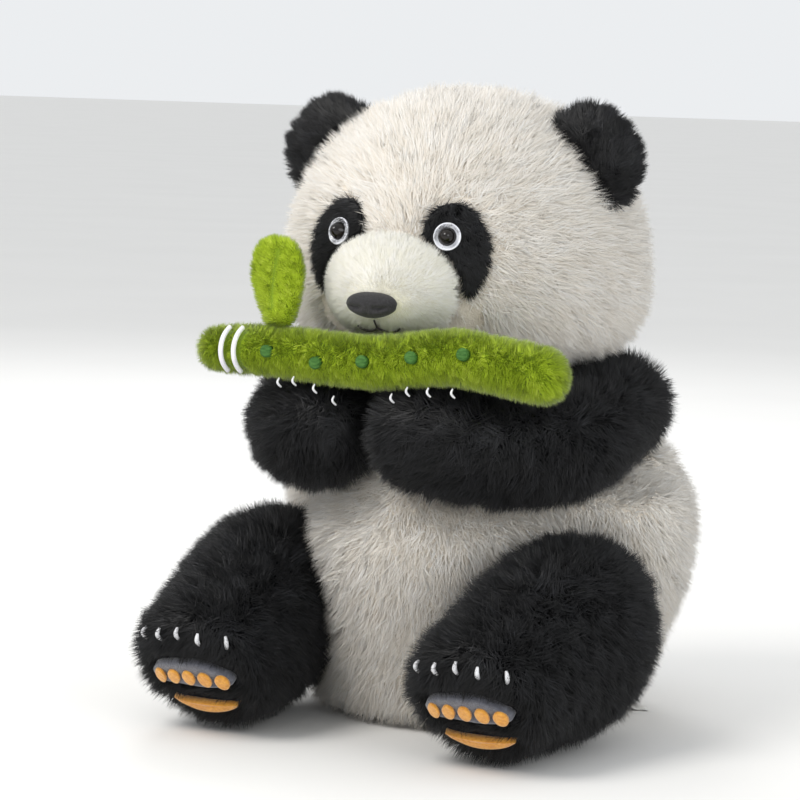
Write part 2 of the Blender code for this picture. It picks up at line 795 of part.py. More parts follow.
def make_body(limbs):
    """The torso: white shell, black shoulder band, stuffing, pellet bag, tail and care label."""
    count = BODY_SIDES
    outline = smooth_row(BODY_OUTLINE, BODY_RINGS)
    turns = [math.tau * i / count for i in range(count)]
    rings = []
    for radius, height in outline:
        height = max(height, 0.0)
        back = BODY_BACK - (BODY_BACK + 0.014) * max(0.0, (height - 0.13) / 0.07) ** 1.5
        rings.append(
            [
                (radius * math.cos(turn), back + radius * math.sin(turn), height)
                for turn in turns
            ]
        )
    rings.append([(0.045 * math.cos(turn), BODY_BACK + 0.045 * math.sin(turn), 0.0) for turn in turns])
    plain = np.array(rings)
    dented = eased(pressed_in(plain, limbs, ROOM), plain, limbs, ROOM)
    loft = Loft(dented, (0.0, BODY_BACK, 0.0))
    loft.end = np.array([0, 0, -1.0])
    inner, inner_pole = loft.inset(FABRIC)
    core, _ = loft.inset(FABRIC + SEAM_GAP)
    band_end = BAND_RINGS
    band = band_from(loft.rings[:band_end], inner[:band_end])
    add_piece("shoulder_band", "torso", "black_plush", *band)
    outer_lower = loft.rings[band_end - 1 :].copy()
    inner_lower = inner[band_end - 1 :].copy()
    step = outer_lower[1] - outer_lower[0]
    seam = BAND_GAP * step / np.linalg.norm(step, axis=1, keepdims=True)
    outer_lower[0] += seam
    inner_lower[0] += seam
    shell = cup_from(outer_lower, loft.pole, inner_lower, inner_pole)
    add_piece("body_shell", "torso", "cream_plush", *shell)
    core[..., 2] = np.maximum(core[..., 2], PELLET_TOP + SEAM_GAP)
    level = [k for k in range(len(core)) if core[k][:, 2].min() > PELLET_TOP + 2 * SEAM_GAP]
    kept = core[: level[-1] + 1]
    floor = kept[-1].copy()
    floor[:, 2] = PELLET_TOP + SEAM_GAP
    floor[:, :2] *= 0.97
    flat = floor.copy()
    flat[:, :2] *= 0.5
    kept = np.concatenate([kept, floor[None], flat[None]])
    kept = facets_cleared(kept, [Surface(*shell), Surface(*band)], SEAM_GAP, reach=4 * FABRIC / 3)
    floor_pole = np.array([0, BODY_BACK, PELLET_TOP + SEAM_GAP])
    add_piece("body_stuffing", "torso", "stuffing", *solid_from(kept, floor_pole))
    bag = [
        (0.0, FABRIC + SEAM_GAP),
        (PELLET_RADIUS * 0.85, FABRIC + SEAM_GAP),
        (PELLET_RADIUS, 0.011),
        (PELLET_RADIUS, 0.022),
        (PELLET_RADIUS * 0.88, PELLET_TOP - 0.001),
        (0.0, PELLET_TOP),
    ]
    bag_points, bag_faces = turned_solid(bag, (0, BODY_BACK, 0), (0, 0, 1), 18)
    add_piece("pellet_bag", "torso", "pellet_cloth", bag_points * np.array([1, PELLET_STRETCH, 1]), bag_faces)
    return loft


def make_tail(loft):
    points, faces = solid_from(loft.rings, loft.pole)
    surface = Surface(points, faces)
    place, normal = surface.hit((0, 0.3, TAIL_PLACE), (0, -1, 0))
    middle = place + np.array([0, TAIL_HALF[1] + TAIL_GAP, 0])
    profile = [(math.cos(a), math.sin(a)) for a in np.linspace(-math.pi / 2, math.pi / 2, 8)]
    ball, ball_faces = turned_solid(profile, (0, 0, 0), (0, 0, 1), 12)
    add_piece("tail", "torso", "cream_plush", ball * np.array(TAIL_HALF) + middle, ball_faces)


def make_label(loft):
    """A small woven strip that is caught in the base seam and hangs out behind the left hip."""
    points, faces = solid_from(loft.rings, loft.pole)
    surface = Surface(points, faces)
    turn = math.radians(LABEL_TURN)
    out = np.array([math.cos(turn), math.sin(turn), 0.0])
    side = np.array([-math.sin(turn), math.cos(turn), 0.0])
    length, width, thick = LABEL_SIZE
    steps = 4
    start = surface.hit(out * 0.3 + np.array([0, 0, LABEL_HEIGHT]), -out)[0] + out * 0.0012
    rings = []
    for k in range(steps + 1):
        along = k / steps
        middle = start + out * length * along
        middle[2] = LABEL_HEIGHT - (LABEL_HEIGHT - thick) * math.sin(along * math.pi / 2) ** 1.4
        rings.append(
            [
                middle + side * (width / 2) * a + np.array([0, 0, thick / 2]) * b
                for a, b in ((-1, -1), (1, -1), (1, 1), (-1, 1))
            ]
        )
    rings = np.array(rings)
    count = 4
    flat = rings.reshape(-1, 3)
    faces = []
    for k in range(steps):
        faces += ring_faces(k * count, (k + 1) * count, count)
    last = steps * count
    faces.append((3, 2, 1, 0))
    faces.append((last, last + 1, last + 2, last + 3))
    add_piece("care_label", "torso", "label_cloth", flat, turned_out(flat, faces))


def make_head():
    """Head shell and stuffing, muzzle, nose, mouth thread, eye patches, safety eyes and ears."""
    count = HEAD_SIDES
    lowest = -math.acos((NECK_HOLE / HEAD_HALF_WIDTH) ** (HEAD_POWER / 2))
    rings = []
    for angle in np.linspace(lowest, math.pi / 2, HEAD_RINGS)[:-1]:
        across = abs(math.cos(angle)) ** (2 / HEAD_POWER)
        up = math.copysign(abs(math.sin(angle)) ** (2 / HEAD_POWER), angle)
        height = HEAD_CENTRE[2] + up * (HEAD_RISE if up > 0 else HEAD_DROP)
        rings.append(
            [
                (
                    HEAD_HALF_WIDTH * across * math.cos(2 * math.pi * i / count),
                    HEAD_CENTRE[1] + HEAD_HALF_DEPTH * across * math.sin(2 * math.pi * i / count),
                    height,
                )
                for i in range(count)
            ]
        )
    crown = (HEAD_CENTRE[0], HEAD_CENTRE[1], HEAD_CENTRE[2] + HEAD_RISE)
    loft = Loft(rings, crown)
    inner, inner_pole = loft.inset(FABRIC)
    core, core_pole = loft.inset(FABRIC + SEAM_GAP)
    solid = cup_from(loft.rings, loft.pole, inner, inner_pole)
    shell = add_piece("head_shell", "head", "cream_plush", *solid)
    filling = add_piece("head_stuffing", "head", "stuffing", *solid_from(core, core_pole))
    make_muzzle()
    for side, sign in (("left", 1.0), ("right", -1.0)):
        make_eye(side, sign, shell, filling)
        make_ear(side, sign)


def make_muzzle():
    layers = (1.0, 0.95, 0.82, 0.62, 0.34)
    edge = oval(*MUZZLE_HALF)

    def dome(x, z, height):
        """Height 0 is the head's surface plus the seam gap, 1 the dome's outer face, and metres add to it."""
        low = face_point(x, z, SEAM_GAP * 1.3)
        high = muzzle_point(x, z, SEAM_GAP * 1.3 + 0.0012)
        if height[0] == "low":
            return low + np.array([0, -1.0, 0]) * height[1]
        top = high + np.array([0, 1.0, 0]) * height[1]
        return top if top[1] < low[1] - height[2] else low + np.array([0, -1.0, 0]) * height[2]

    outer = ("high", 0.0, 0.0010)
    inner = ("high", FABRIC, 0.0)
    shell_points, shell_faces = patch_solid(
        dome, MUZZLE_CENTRE, edge, layers, lambda share: inner, lambda share: outer
    )
    shell = add_piece("muzzle_shell", "head", "muzzle_plush", shell_points, shell_faces)
    small = oval(MUZZLE_HALF[0] * 0.90, MUZZLE_HALF[1] * 0.90)
    filling_points, filling_faces = patch_solid(
        dome,
        MUZZLE_CENTRE,
        small,
        (1.0, 0.85, 0.6, 0.3),
        lambda share: ("low", 0.0),
        lambda share: ("high", FABRIC + 0.0012, 0.0004),
    )
    filling = add_piece("muzzle_stuffing", "head", "stuffing", filling_points, filling_faces)
    make_nose(shell, filling)
    make_mouth()


def make_nose(shell, filling):
    """A rounded flocked nose with a stem through the muzzle and a washer behind the fabric."""
    out = np.array([0, -1.0, 0])
    seat = muzzle_point(0.0, NOSE_HEIGHT, SEAM_GAP * 1.3 + 0.0012 + 0.0006)
    half_width, half_height, reach = NOSE_HALF

    def place(x, z, height):
        """The nose's back follows the muzzle and its front is flatter."""
        low = muzzle_point(x, NOSE_HEIGHT + z, SEAM_GAP * 1.3 + 0.0012 + 0.0006)
        if height <= 0.0010:
            return low + out * height
        front = seat + np.array([x, 0, z]) + out * height
        return low + (front - low) * 0.8 if front[1] < low[1] else low + out * height

    def edge(angle):
        lower = 1 - 0.30 * max(0.0, -math.sin(angle))
        return (half_width * lower * math.cos(angle), half_height * math.sin(angle))

    points, faces = patch_solid(
        place,
        (0.0, 0.0),
        edge,
        (1.0, 0.85, 0.5),
        lambda share: 0.0,
        lambda share: 0.0010 + (reach - 0.0010) * math.sqrt(max(0.0, 1 - share**2.6)),
    )
    nose = add_piece("nose", "head", "nose_flock", points, faces)
    stem_profile = [(0.0, 0.002), (STEM_RADIUS, 0.002), (STEM_RADIUS, -STEM_LENGTH), (0.0, -STEM_LENGTH)]
    stem = add_piece("nose_stem", "head", "nose_flock", *turned_solid(stem_profile, seat, out, 12))
    combine(nose, stem, "UNION")
    washer_seat = seat - out * (0.0006 + FABRIC + NOSE_WASHER_SINK)
    add_washer("nose_washer", "head", washer_seat, out)
    hole = cutter_cylinder("nose_hole", seat + out * 0.002, -out, 0.020, STEM_RADIUS + 0.0005)
    combine(shell, hole, "DIFFERENCE")
    pocket = cutter_cylinder(
        "nose_pocket", washer_seat + out * 0.010, -out, 0.020, WASHER_RADIUS + 0.0006
    )
    combine(filling, pocket, "DIFFERENCE")
    return nose


def add_washer(name, body, seat, out):
    """A ring washer whose front face is at the seat, threaded on its stem."""
    inner = STEM_RADIUS + 0.0004
    thick = 0.0012
    count = 10
    side = unit(np.cross(out, (1.0, 0, 0.2)))
    other = np.cross(out, side)
    rings = []
    for radius, height in ((WASHER_RADIUS, 0.0), (WASHER_RADIUS, -thick), (inner, -thick), (inner, 0.0)):
        rings.append(
            [
                seat
                + out * height
                + radius * (math.cos(math.tau * i / count) * side + math.sin(math.tau * i / count) * other)
                for i in range(count)
            ]
        )
    points = np.array(rings).reshape(-1, 3)
    faces = []
    for k in range(4):
        faces += ring_faces(k * count, ((k + 1) % 4) * count, count)
    add_piece(name, body, "washer_plastic", points, turned_out(points, faces))


def cutter_cylinder(name, start, direction, length, radius):
    profile = [(0.0, 0.0), (radius, 0.0), (radius, length), (0.0, length)]
    points, faces = turned_solid(profile, start, direction, 10)
    return add_piece(name, "head", "washer_plastic", points, faces)


def make_mouth():
    """Three runs of black thread: one down from the nose and one to each side."""
    lift = SEAM_GAP * 1.3 + 0.0012 + 0.0011
    below = NOSE_HEIGHT - NOSE_HALF[1]
    runs = {
        "mouth_stitch_centre": ((0.0, below - 0.0008), (0.0006, below - 0.0034), (0.0018, below - 0.0052)),
        "mouth_stitch_left": ((0.0030, below - 0.0062), (0.0075, below - 0.0082), (0.0130, below - 0.0050)),
        "mouth_stitch_right": (
            (0.0008, below - 0.0066),
            (-0.0016, below - 0.0076),
            (-0.0040, below - 0.0068),
        ),
    }
    for name, places in runs.items():
        route = np.array([muzzle_point(x, z, lift) for x, z in smooth_row(places, 4)])
        tangents = np.gradient(route, axis=0)
        rings = []
        for middle, tangent in zip(route, tangents):
            side = unit(np.cross(tangent, (0, 1.0, 0)))
            up = unit(np.cross(side, tangent))
            rings.append(
                [
                    middle + 0.0005 * (math.cos(0.4 * math.pi * i) * side + math.sin(0.4 * math.pi * i) * up)
                    for i in range(5)
                ]
            )
        pole = route[-1] + 0.0003 * unit(tangents[-1])
        add_piece(name, "head", "black_thread", *solid_from(np.array(rings), pole))


def make_eye(side, sign, shell, filling):
    """An eye patch and a safety eye: dome on a stem, white ring, and a washer inside the head."""
    edge = teardrop(EYE_PATCH_HALF[0], EYE_PATCH_HALF[1], EYE_PATCH_TILT)

    def on_face(x, z, height):
        return face_point(sign * x, z, height)

    def under_muzzle(x, z, height):
        """Keeps the patch's edge clear of the muzzle's seam."""
        u = x / (MUZZLE_HALF[0] + 0.0012)
        v = (z - MUZZLE_CENTRE[1]) / (MUZZLE_HALF[1] + 0.0012)
        reach = math.hypot(u, v)
        if reach < 1:
            x = x / reach
            z = MUZZLE_CENTRE[1] + (z - MUZZLE_CENTRE[1]) / reach
        return on_face(x, z, height)

    thick = 0.0022
    points, faces = patch_solid(
        under_muzzle,
        EYE_PATCH_CENTRE,
        edge,
        (1.0, 0.8, 0.45),
        lambda share: SEAM_GAP * 1.3,
        lambda share: SEAM_GAP * 1.3 + thick * (0.55 + 0.45 * (1 - share**2)),
    )
    patch = add_piece("eye_patch_" + side, "head", "black_plush", points, faces)
    skin = on_face(*EYE_PLACE, 0.0)
    out = head_normal(skin)
    top = SEAM_GAP * 1.3 + thick
    ring_seat = skin + out * (top + 0.0005)
    ring = [(EYE_RING_RADIUS - 0.0004, 0.0), (EYE_RING_RADIUS, 0.0006), (EYE_RING_RADIUS - 0.0012, 0.0022)]
    add_ring("eye_ring_" + side, ring, STEM_RADIUS + 0.0004, 0.0010, ring_seat, out)
    bed = 0.0010 + 0.0014
    profile = [(0.0, -STEM_LENGTH), (STEM_RADIUS, -STEM_LENGTH), (STEM_RADIUS, bed), (EYE_RADIUS * 0.96, bed)]
    for angle in np.linspace(0.1, 1.0, 4)[:-1]:
        a = angle * math.pi / 2
        profile.append((EYE_RADIUS * math.cos(a * 0.999), bed + 0.0008 + 0.0046 * math.sin(a)))
    profile.append((0.0, bed + 0.0008 + 0.0046))
    add_piece("eye_" + side, "head", "eye_plastic", *turned_solid(profile, ring_seat, out, 14))
    washer_seat = skin - out * (FABRIC + WASHER_SINK)
    add_washer("eye_washer_" + side, "head", washer_seat, out)
    hole = cutter_cylinder("eye_hole_" + side, skin + out * 0.010, -out, 0.030, STEM_RADIUS + 0.0005)
    combine(shell, hole, "DIFFERENCE")
    combine(patch, hole, "DIFFERENCE")
    pocket = cutter_cylinder("eye_pocket_" + side, skin + out * 0.004, -out, 0.020, WASHER_RADIUS + 0.0006)
    combine(filling, pocket, "DIFFERENCE")


def add_ring(name, rim, inner, floor, seat, out):
    """A dished ring: the rim profile outside, a flat floor inside with a hole for the stem."""
    count = 14
    side = unit(np.cross(out, (1.0, 0, 0.2)))
    other = np.cross(out, side)
    underside = [(EYE_RADIUS + 0.0004, 0.0022), (EYE_RADIUS + 0.0003, floor), (inner, floor)]
    profile = [(inner, 0.0), *rim, *underside]
    rings = [
        [
            seat
            + out * height
            + radius * (math.cos(2 * math.pi * i / count) * side + math.sin(2 * math.pi * i / count) * other)
            for i in range(count)
        ]
        for radius, height in profile
    ]
    points = np.array(rings).reshape(-1, 3)
    faces = []
    for k in range(len(profile)):
        faces += ring_faces(k * count, ((k + 1) % len(profile)) * count, count)
    add_piece(name, "head", "ring_plastic", points, turned_out(points, faces))


def ear_axis(sign):
    """The bend line of an ear along its seam, its middle on the head's surface, and the way it stands out."""
    top = np.array([sign * EAR_TOP[0], EAR_DEPTH, EAR_TOP[1]])
    bottom = np.array([sign * EAR_BOTTOM[0], EAR_DEPTH, EAR_BOTTOM[1]])
    chord = unit(bottom - top)
    out = sign * unit([-chord[2], 0.0, chord[0]])
    middle = (top + bottom) / 2
    inside = np.array([0.0, EAR_DEPTH, HEAD_CENTRE[2]])
    reach = along_to_head(inside, unit(middle - inside))
    return inside + reach * unit(middle - inside), chord, out, np.linalg.norm(bottom - top) / 2


def make_ear(side, sign):
    """A plump half-disc whose seam edge follows the head, with room to bend either way."""
    body = "ear_" + side
    pivot, chord, out, half = ear_axis(sign)
    PIVOTS[body] = tuple(pivot)
    thick = np.cross(chord, out)
    count = 18
    rings = []
    levels = ((0.5, 0.0), (1.0, 0.0), (1.0, 0.25), (1.0, 0.50), (1.0, 0.72), (1.0, 0.88), (1.0, 0.97))
    for share, height in levels:
        width = share * half * (1 - height**2.3) ** (1 / 2.3)
        depth = share * EAR_HALF_THICK * (1 - height**3) ** 0.5
        ring = []
        for i in range(count):
            angle = 2 * math.pi * i / count
            c = width * math.copysign(abs(math.cos(angle)) ** 0.8, math.cos(angle))
            t = depth * math.copysign(abs(math.sin(angle)) ** 0.9, math.sin(angle))
            foot = pivot + chord * c + thick * t
            base = along_to_head(foot - out * 0.05, out) - 0.05
            base += EAR_GAP + abs(t) * math.tan(math.radians(EAR_BEND + 3))
            ring.append(foot + out * (base * (1 - height) + EAR_REACH * height))
        rings.append(ring)
    pole = pivot + out * EAR_REACH
    rings = np.array(rings)
    foot = pivot + out * (along_to_head(pivot - out * 0.05, out) - 0.05 + EAR_GAP)
    add_piece(body, body, "black_plush", *solid_from(rings, pole, foot))


def bamboo_middle(x):
    """Height of the stalk's centre line at x."""
    rows = smooth_row(BAMBOO_ROUTE, 61)
    return float(np.interp(x, rows[:, 0], rows[:, 1]))


def bamboo_ring(x, radius, count=STALK_SIDES):
    z = bamboo_middle(x)
    return [
        (x, BAMBOO_DEPTH + radius * math.cos(turn), z + radius * math.sin(turn))
        for turn in [math.tau * i / count for i in range(count)]
    ]


def bamboo_radius(x):
    """The stalk is full near its right end, slimmer at its left end."""
    share = (x - BAMBOO_ROUTE[0][0]) / (BAMBOO_ROUTE[-1][0] - BAMBOO_ROUTE[0][0])
    return BAMBOO_RADIUS * (0.90 + 0.16 * share) * (1 - 0.10 * math.exp(-(((x + 0.100) / 0.004) ** 2)))


def make_bamboo():
    """The stalk's short-pile cover, its stuffing, two thread stripes and the leaf."""
    body = "arm_left"
    start, end = BAMBOO_ROUTE[0][0], BAMBOO_ROUTE[-1][0]
    rings = []
    left_cap, right_cap = BAMBOO_RADIUS * 0.75, BAMBOO_RADIUS * 0.9
    for share, reach in reversed(round_cap(CAP_RINGS + 1)):
        rings.append(bamboo_ring(start + left_cap * (1 - reach), bamboo_radius(start + left_cap) * share))
    for x in np.linspace(start + left_cap, end - right_cap, STALK_RINGS):
        rings.append(bamboo_ring(x, bamboo_radius(x)))
    for share, reach in round_cap(CAP_RINGS + 1):
        rings.append(bamboo_ring(end - right_cap * (1 - reach), bamboo_radius(end - right_cap) * share))
    pole = (end, BAMBOO_DEPTH, bamboo_middle(end))
    loft = Loft(rings, pole)
    inner, inner_pole = loft.inset(THIN_FABRIC)
    core, core_pole = loft.inset(THIN_FABRIC + SEAM_GAP)
    add_piece("bamboo_shell", body, "green_plush", *cup_from(loft.rings, loft.pole, inner, inner_pole))
    add_piece("bamboo_stuffing", body, "stuffing", *solid_from(core, core_pole))
    for k, place in enumerate(STRIPE_PLACES, 1):
        make_stripe(f"bamboo_stripe_{k}", place)
    make_leaf()


def make_stripe(name, place):
    """A bowed bar of satin stitch round the front of the stalk."""
    steps = 7
    rings = []
    for k in range(steps + 1):
        turn = math.radians(112 + 136 * k / steps)
        bow = 0.0022 * math.cos((k / steps - 0.5) * math.pi)
        corners = []
        for side, lift in ((-1, 0.0007), (1, 0.0007), (1, 0.0016), (-1, 0.0016)):
            x = place - bow + side * STRIPE_HALF_WIDTH
            radius = bamboo_radius(x) + lift
            corners.append(
                (x, BAMBOO_DEPTH + radius * math.cos(turn), bamboo_middle(x) + radius * math.sin(turn))
            )
        rings.append(corners)
    points = np.array(rings).reshape(-1, 3)
    faces = []
    for k in range(steps):
        faces += ring_faces(k * 4, (k + 1) * 4, 4)
    last = steps * 4
    faces.append((3, 2, 1, 0))
    faces.append((last, last + 1, last + 2, last + 3))
    add_piece(name, "arm_left", "white_thread", points, turned_out(points, faces))


def make_leaf():
    """A petal-shaped leaf that stands on the stalk and bends about its sewn foot."""
    foot = bamboo_middle(LEAF_PLACE) + bamboo_radius(LEAF_PLACE) + 0.0007
    pivot = np.array([LEAF_PLACE, BAMBOO_DEPTH, foot + LEAF_HALF_THICK])
    PIVOTS["leaf"] = tuple(pivot)
    count = 12
    rings = []
    for height in (-0.8, 0.0):
        share = math.sqrt(1 - height**2)
        stem = 0.50 * LEAF_HALF_WIDTH * (0.6 + 0.4 * share)
        rings.append((pivot[2] + height * LEAF_HALF_THICK, stem, LEAF_HALF_THICK * share))
    for height in (0.2, 0.42, 0.62, 0.82, 0.95):
        width = LEAF_HALF_WIDTH * (0.50 + 0.50 * math.sin(math.pi * min(height / 0.62, 1.0) / 2))
        if height > 0.62:
            width *= math.sqrt(1 - ((height - 0.62) / 0.40) ** 2)
        rise = height * (LEAF_HEIGHT - LEAF_HALF_THICK)
        rings.append((pivot[2] + rise, width, LEAF_HALF_THICK * (1.05 - 0.45 * height)))
    out = [
        [
            (
                pivot[0] + width * math.cos(2 * math.pi * i / count) - 0.002 * (z - pivot[2]) / LEAF_HEIGHT,
                pivot[1] + thick * math.sin(2 * math.pi * i / count),
                z,
            )
            for i in range(count)
        ]
        for z, width, thick in rings
    ]
    pole = np.array([pivot[0] - 0.002, pivot[1], pivot[2] + LEAF_HEIGHT - LEAF_HALF_THICK])
    add_piece("bamboo_leaf", "leaf", "green_plush", *solid_from(np.array(out), pole))


def centre_on_base():
    """Moves the whole toy so that the origin is the middle of its box, on the ground."""
    bpy.context.view_layer.update()
    low = np.full(3, np.inf)
    high = np.full(3, -np.inf)
    for item in bpy.data.objects:
        if item.type == "MESH" and not item.hide_render:
            corners = np.array([item.matrix_world @ v.co for v in item.data.vertices])
            low = np.minimum(low, corners.min(axis=0))
            high = np.maximum(high, corners.max(axis=0))
    shift = -(low + high) / 2
    shift[2] = -low[2]
    frame = bpy.data.objects.new("panda_frame", None)
    bpy.context.collection.objects.link(frame)
    frame.location = shift
    for item in bpy.data.objects:
        if item.type == "EMPTY" and item is not frame:
            item.parent = frame


def main():
    clear_scene()
    sweeps = make_arms() + make_legs()
    torso = make_body(sweeps)
    make_tail(torso)
    make_label(torso)
    make_head()
    make_bamboo()
    centre_on_base()


main()
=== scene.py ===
"""A sitting plush panda that hugs a plush bamboo stalk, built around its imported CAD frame."""

import math

import bpy
import bmesh
import numpy as np
from mathutils import Matrix, Vector
from mathutils.bvhtree import BVHTree


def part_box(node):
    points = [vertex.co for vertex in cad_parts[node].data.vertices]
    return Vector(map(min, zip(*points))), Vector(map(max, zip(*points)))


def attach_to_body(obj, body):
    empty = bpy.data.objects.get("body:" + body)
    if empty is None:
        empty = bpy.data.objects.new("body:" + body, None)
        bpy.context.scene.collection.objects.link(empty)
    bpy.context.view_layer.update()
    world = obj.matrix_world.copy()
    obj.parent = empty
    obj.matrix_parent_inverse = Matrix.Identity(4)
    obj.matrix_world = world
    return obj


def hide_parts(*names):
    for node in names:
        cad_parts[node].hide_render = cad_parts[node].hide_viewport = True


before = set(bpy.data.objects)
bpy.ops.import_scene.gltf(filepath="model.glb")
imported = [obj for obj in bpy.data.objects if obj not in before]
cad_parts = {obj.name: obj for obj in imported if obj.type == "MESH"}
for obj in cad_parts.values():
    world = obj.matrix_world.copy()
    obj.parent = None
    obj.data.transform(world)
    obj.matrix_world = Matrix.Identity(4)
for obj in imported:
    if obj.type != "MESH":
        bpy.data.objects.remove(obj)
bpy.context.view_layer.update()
SCENE = bpy.context.scene

# ---------------------------------------------------------------- sizes, in metres
WHITE_PILE = 0.0115
BLACK_PILE = 0.0125
SHORT_PILE = 0.0060
MUZZLE_PILE = 0.0050
FLOOR_CLEAR = 0.0006

CAMERA_AZIMUTH = 27.77
CAMERA_ELEVATION = 5.80
CAMERA_ROLL = 1.56
CAMERA_DISTANCE = 2.0
CAMERA_LENS = 144.8
CAMERA_TARGET = (-0.042, 0.00485, 0.192)
SENSOR = 36.0


def middle_of(node):
    low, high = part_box(node)
    return np.array((low + high) / 2)


def low_of(node):
    return np.array(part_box(node)[0])


def high_of(node):
    return np.array(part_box(node)[1])


# ---------------------------------------------------------------- materials
def new_material(name, colour, roughness, sheen=0.0, specular=0.5):
    """A Principled material; constants sit on the shader's own sockets."""
    made = bpy.data.materials.new(name)
    made.use_nodes = True
    shader = made.node_tree.nodes["Principled BSDF"]
    shader.inputs["Base Color"].default_value = (*colour, 1)
    shader.inputs["Roughness"].default_value = roughness
    shader.inputs["Sheen Weight"].default_value = sheen
    shader.inputs["Sheen Roughness"].default_value = 0.5
    shader.inputs["Specular IOR Level"].default_value = specular
    made.diffuse_color = (*colour, 1)
    return made


def mottled(made, first, second, scale, detail=4.0, stretch=(1, 1, 1), bump=0.0, bump_scale=900.0):
    """Colour that wanders between two values over the piece, with a fine bump of fibres."""
    tree = made.node_tree
    shader = tree.nodes["Principled BSDF"]
    place = tree.nodes.new("ShaderNodeTexCoord")
    mapping = tree.nodes.new("ShaderNodeMapping")
    mapping.inputs["Scale"].default_value = stretch
    tree.links.new(place.outputs["Object"], mapping.inputs["Vector"])
    noise = tree.nodes.new("ShaderNodeTexNoise")
    noise.inputs["Scale"].default_value = scale
    noise.inputs["Detail"].default_value = detail
    tree.links.new(mapping.outputs["Vector"], noise.inputs["Vector"])
    ramp = tree.nodes.new("ShaderNodeValToRGB")
    ramp.color_ramp.elements[0].position = 0.30
    ramp.color_ramp.elements[0].color = (*first, 1)
    ramp.color_ramp.elements[1].position = 0.70
    ramp.color_ramp.elements[1].color = (*second, 1)
    tree.links.new(noise.outputs["Fac"], ramp.inputs["Fac"])
    tree.links.new(ramp.outputs["Color"], shader.inputs["Base Color"])
    if bump:
        fine = tree.nodes.new("ShaderNodeTexNoise")
        fine.inputs["Scale"].default_value = bump_scale
        fine.inputs["Detail"].default_value = 3.0
        tree.links.new(mapping.outputs["Vector"], fine.inputs["Vector"])
        raised = tree.nodes.new("ShaderNodeBump")
        raised.inputs["Strength"].default_value = bump
        raised.inputs["Distance"].default_value = 0.001
        tree.links.new(fine.outputs["Fac"], raised.inputs["Height"])
        tree.links.new(raised.outputs["Normal"], shader.inputs["Normal"])
    return made


def backing(name, dark, light, sheen=0.3):
    """The fabric under a pile: mottled, with the bump of packed fibres."""
    made = new_material(name, light, 0.95, sheen=sheen, specular=0.1)
    return mottled(made, dark, light, 60.0, bump=0.8)


def pile_tones(name, colours, roughness=0.75, sheen=0.25, specular=0.15):
    """One material for each tone of a pile; each strand takes one of them."""
    return [
        new_material(f"{name}_{k}", colour, roughness, sheen, specular) for k, colour in enumerate(colours)
    ]


WHITE_BACKING = backing("white_backing", (0.70, 0.62, 0.52), (0.86, 0.79, 0.69))
IVORY_BACKING = backing("ivory_backing", (0.80, 0.76, 0.62), (0.92, 0.89, 0.77))
BLACK_BACKING = backing("black_backing", (0.004, 0.004, 0.005), (0.012, 0.012, 0.014), sheen=0.0)
GREEN_BACKING = backing("green_backing", (0.13, 0.20, 0.006), (0.22, 0.33, 0.012))

WHITE_TONES = pile_tones(
    "white_pile",
    [(0.84, 0.77, 0.67), (0.89, 0.83, 0.74), (0.93, 0.88, 0.80), (0.96, 0.92, 0.86), (0.98, 0.96, 0.92)],
)
IVORY_TONES = pile_tones(
    "ivory_pile",
    [(0.90, 0.87, 0.75), (0.93, 0.91, 0.80), (0.95, 0.93, 0.84), (0.97, 0.95, 0.88), (0.98, 0.97, 0.92)],
)
BLACK_TONES = pile_tones(
    "black_pile",
    [
        (0.003, 0.003, 0.003),
        (0.005, 0.005, 0.006),
        (0.008, 0.008, 0.009),
        (0.013, 0.013, 0.015),
        (0.022, 0.023, 0.027),
    ],
    roughness=0.50,
    sheen=0.05,
    specular=0.35,
)
GREEN_TONES = pile_tones(
    "green_pile",
    [(0.19, 0.28, 0.006), (0.29, 0.41, 0.010), (0.38, 0.52, 0.016), (0.46, 0.61, 0.028), (0.57, 0.70, 0.070)],
    roughness=0.65,
)


# ---------------------------------------------------------------- meshes
def new_object(name, points, faces, finish, smooth=True):
    mesh = bpy.data.meshes.new(name)
    mesh.from_pydata([tuple(map(float, p)) for p in points], [], [tuple(map(int, f)) for f in faces])
    mesh.validate()
    mesh.update()
    made = bpy.data.objects.new(name, mesh)
    SCENE.collection.objects.link(made)
    if finish is not None:
        mesh.materials.append(finish)
    if smooth:
        mesh.shade_smooth()
    return made


def arrays_of(thing):
    """Points and triangles of a mesh object, as it stands."""
    mesh = thing.data
    points = np.empty(len(mesh.vertices) * 3, np.float32)
    mesh.vertices.foreach_get("co", points)
    mesh.calc_loop_triangles()
    triangles = np.empty(len(mesh.loop_triangles) * 3, np.int32)
    mesh.loop_triangles.foreach_get("vertices", triangles)
    return points.reshape(-1, 3).astype(float), triangles.reshape(-1, 3)


def ring_faces(rings, count):
    """Quads between rings of count points each, one ring after the next."""
    return [
        (ring * count + k, ring * count + after, (ring + 1) * count + after, (ring + 1) * count + k)
        for ring in range(rings)
        for k, after in ((k, (k + 1) % count) for k in range(count))
    ]


def mended(thing):
    """Merges doubled points and turns every face outwards."""
    work = bmesh.new()
    work.from_mesh(thing.data)
    bmesh.ops.remove_doubles(work, verts=work.verts, dist=1e-6)
    bmesh.ops.recalc_face_normals(work, faces=work.faces)
    work.to_mesh(thing.data)
    work.free()
    thing.data.shade_smooth()
    return thing


def settled(thing):
    """Replaces a mesh by what its modifiers make of it."""
    depsgraph = bpy.context.evaluated_depsgraph_get()
    fresh = bpy.data.meshes.new_from_object(thing.evaluated_get(depsgraph))
    thing.modifiers.clear()
    thing.data = fresh
    return thing


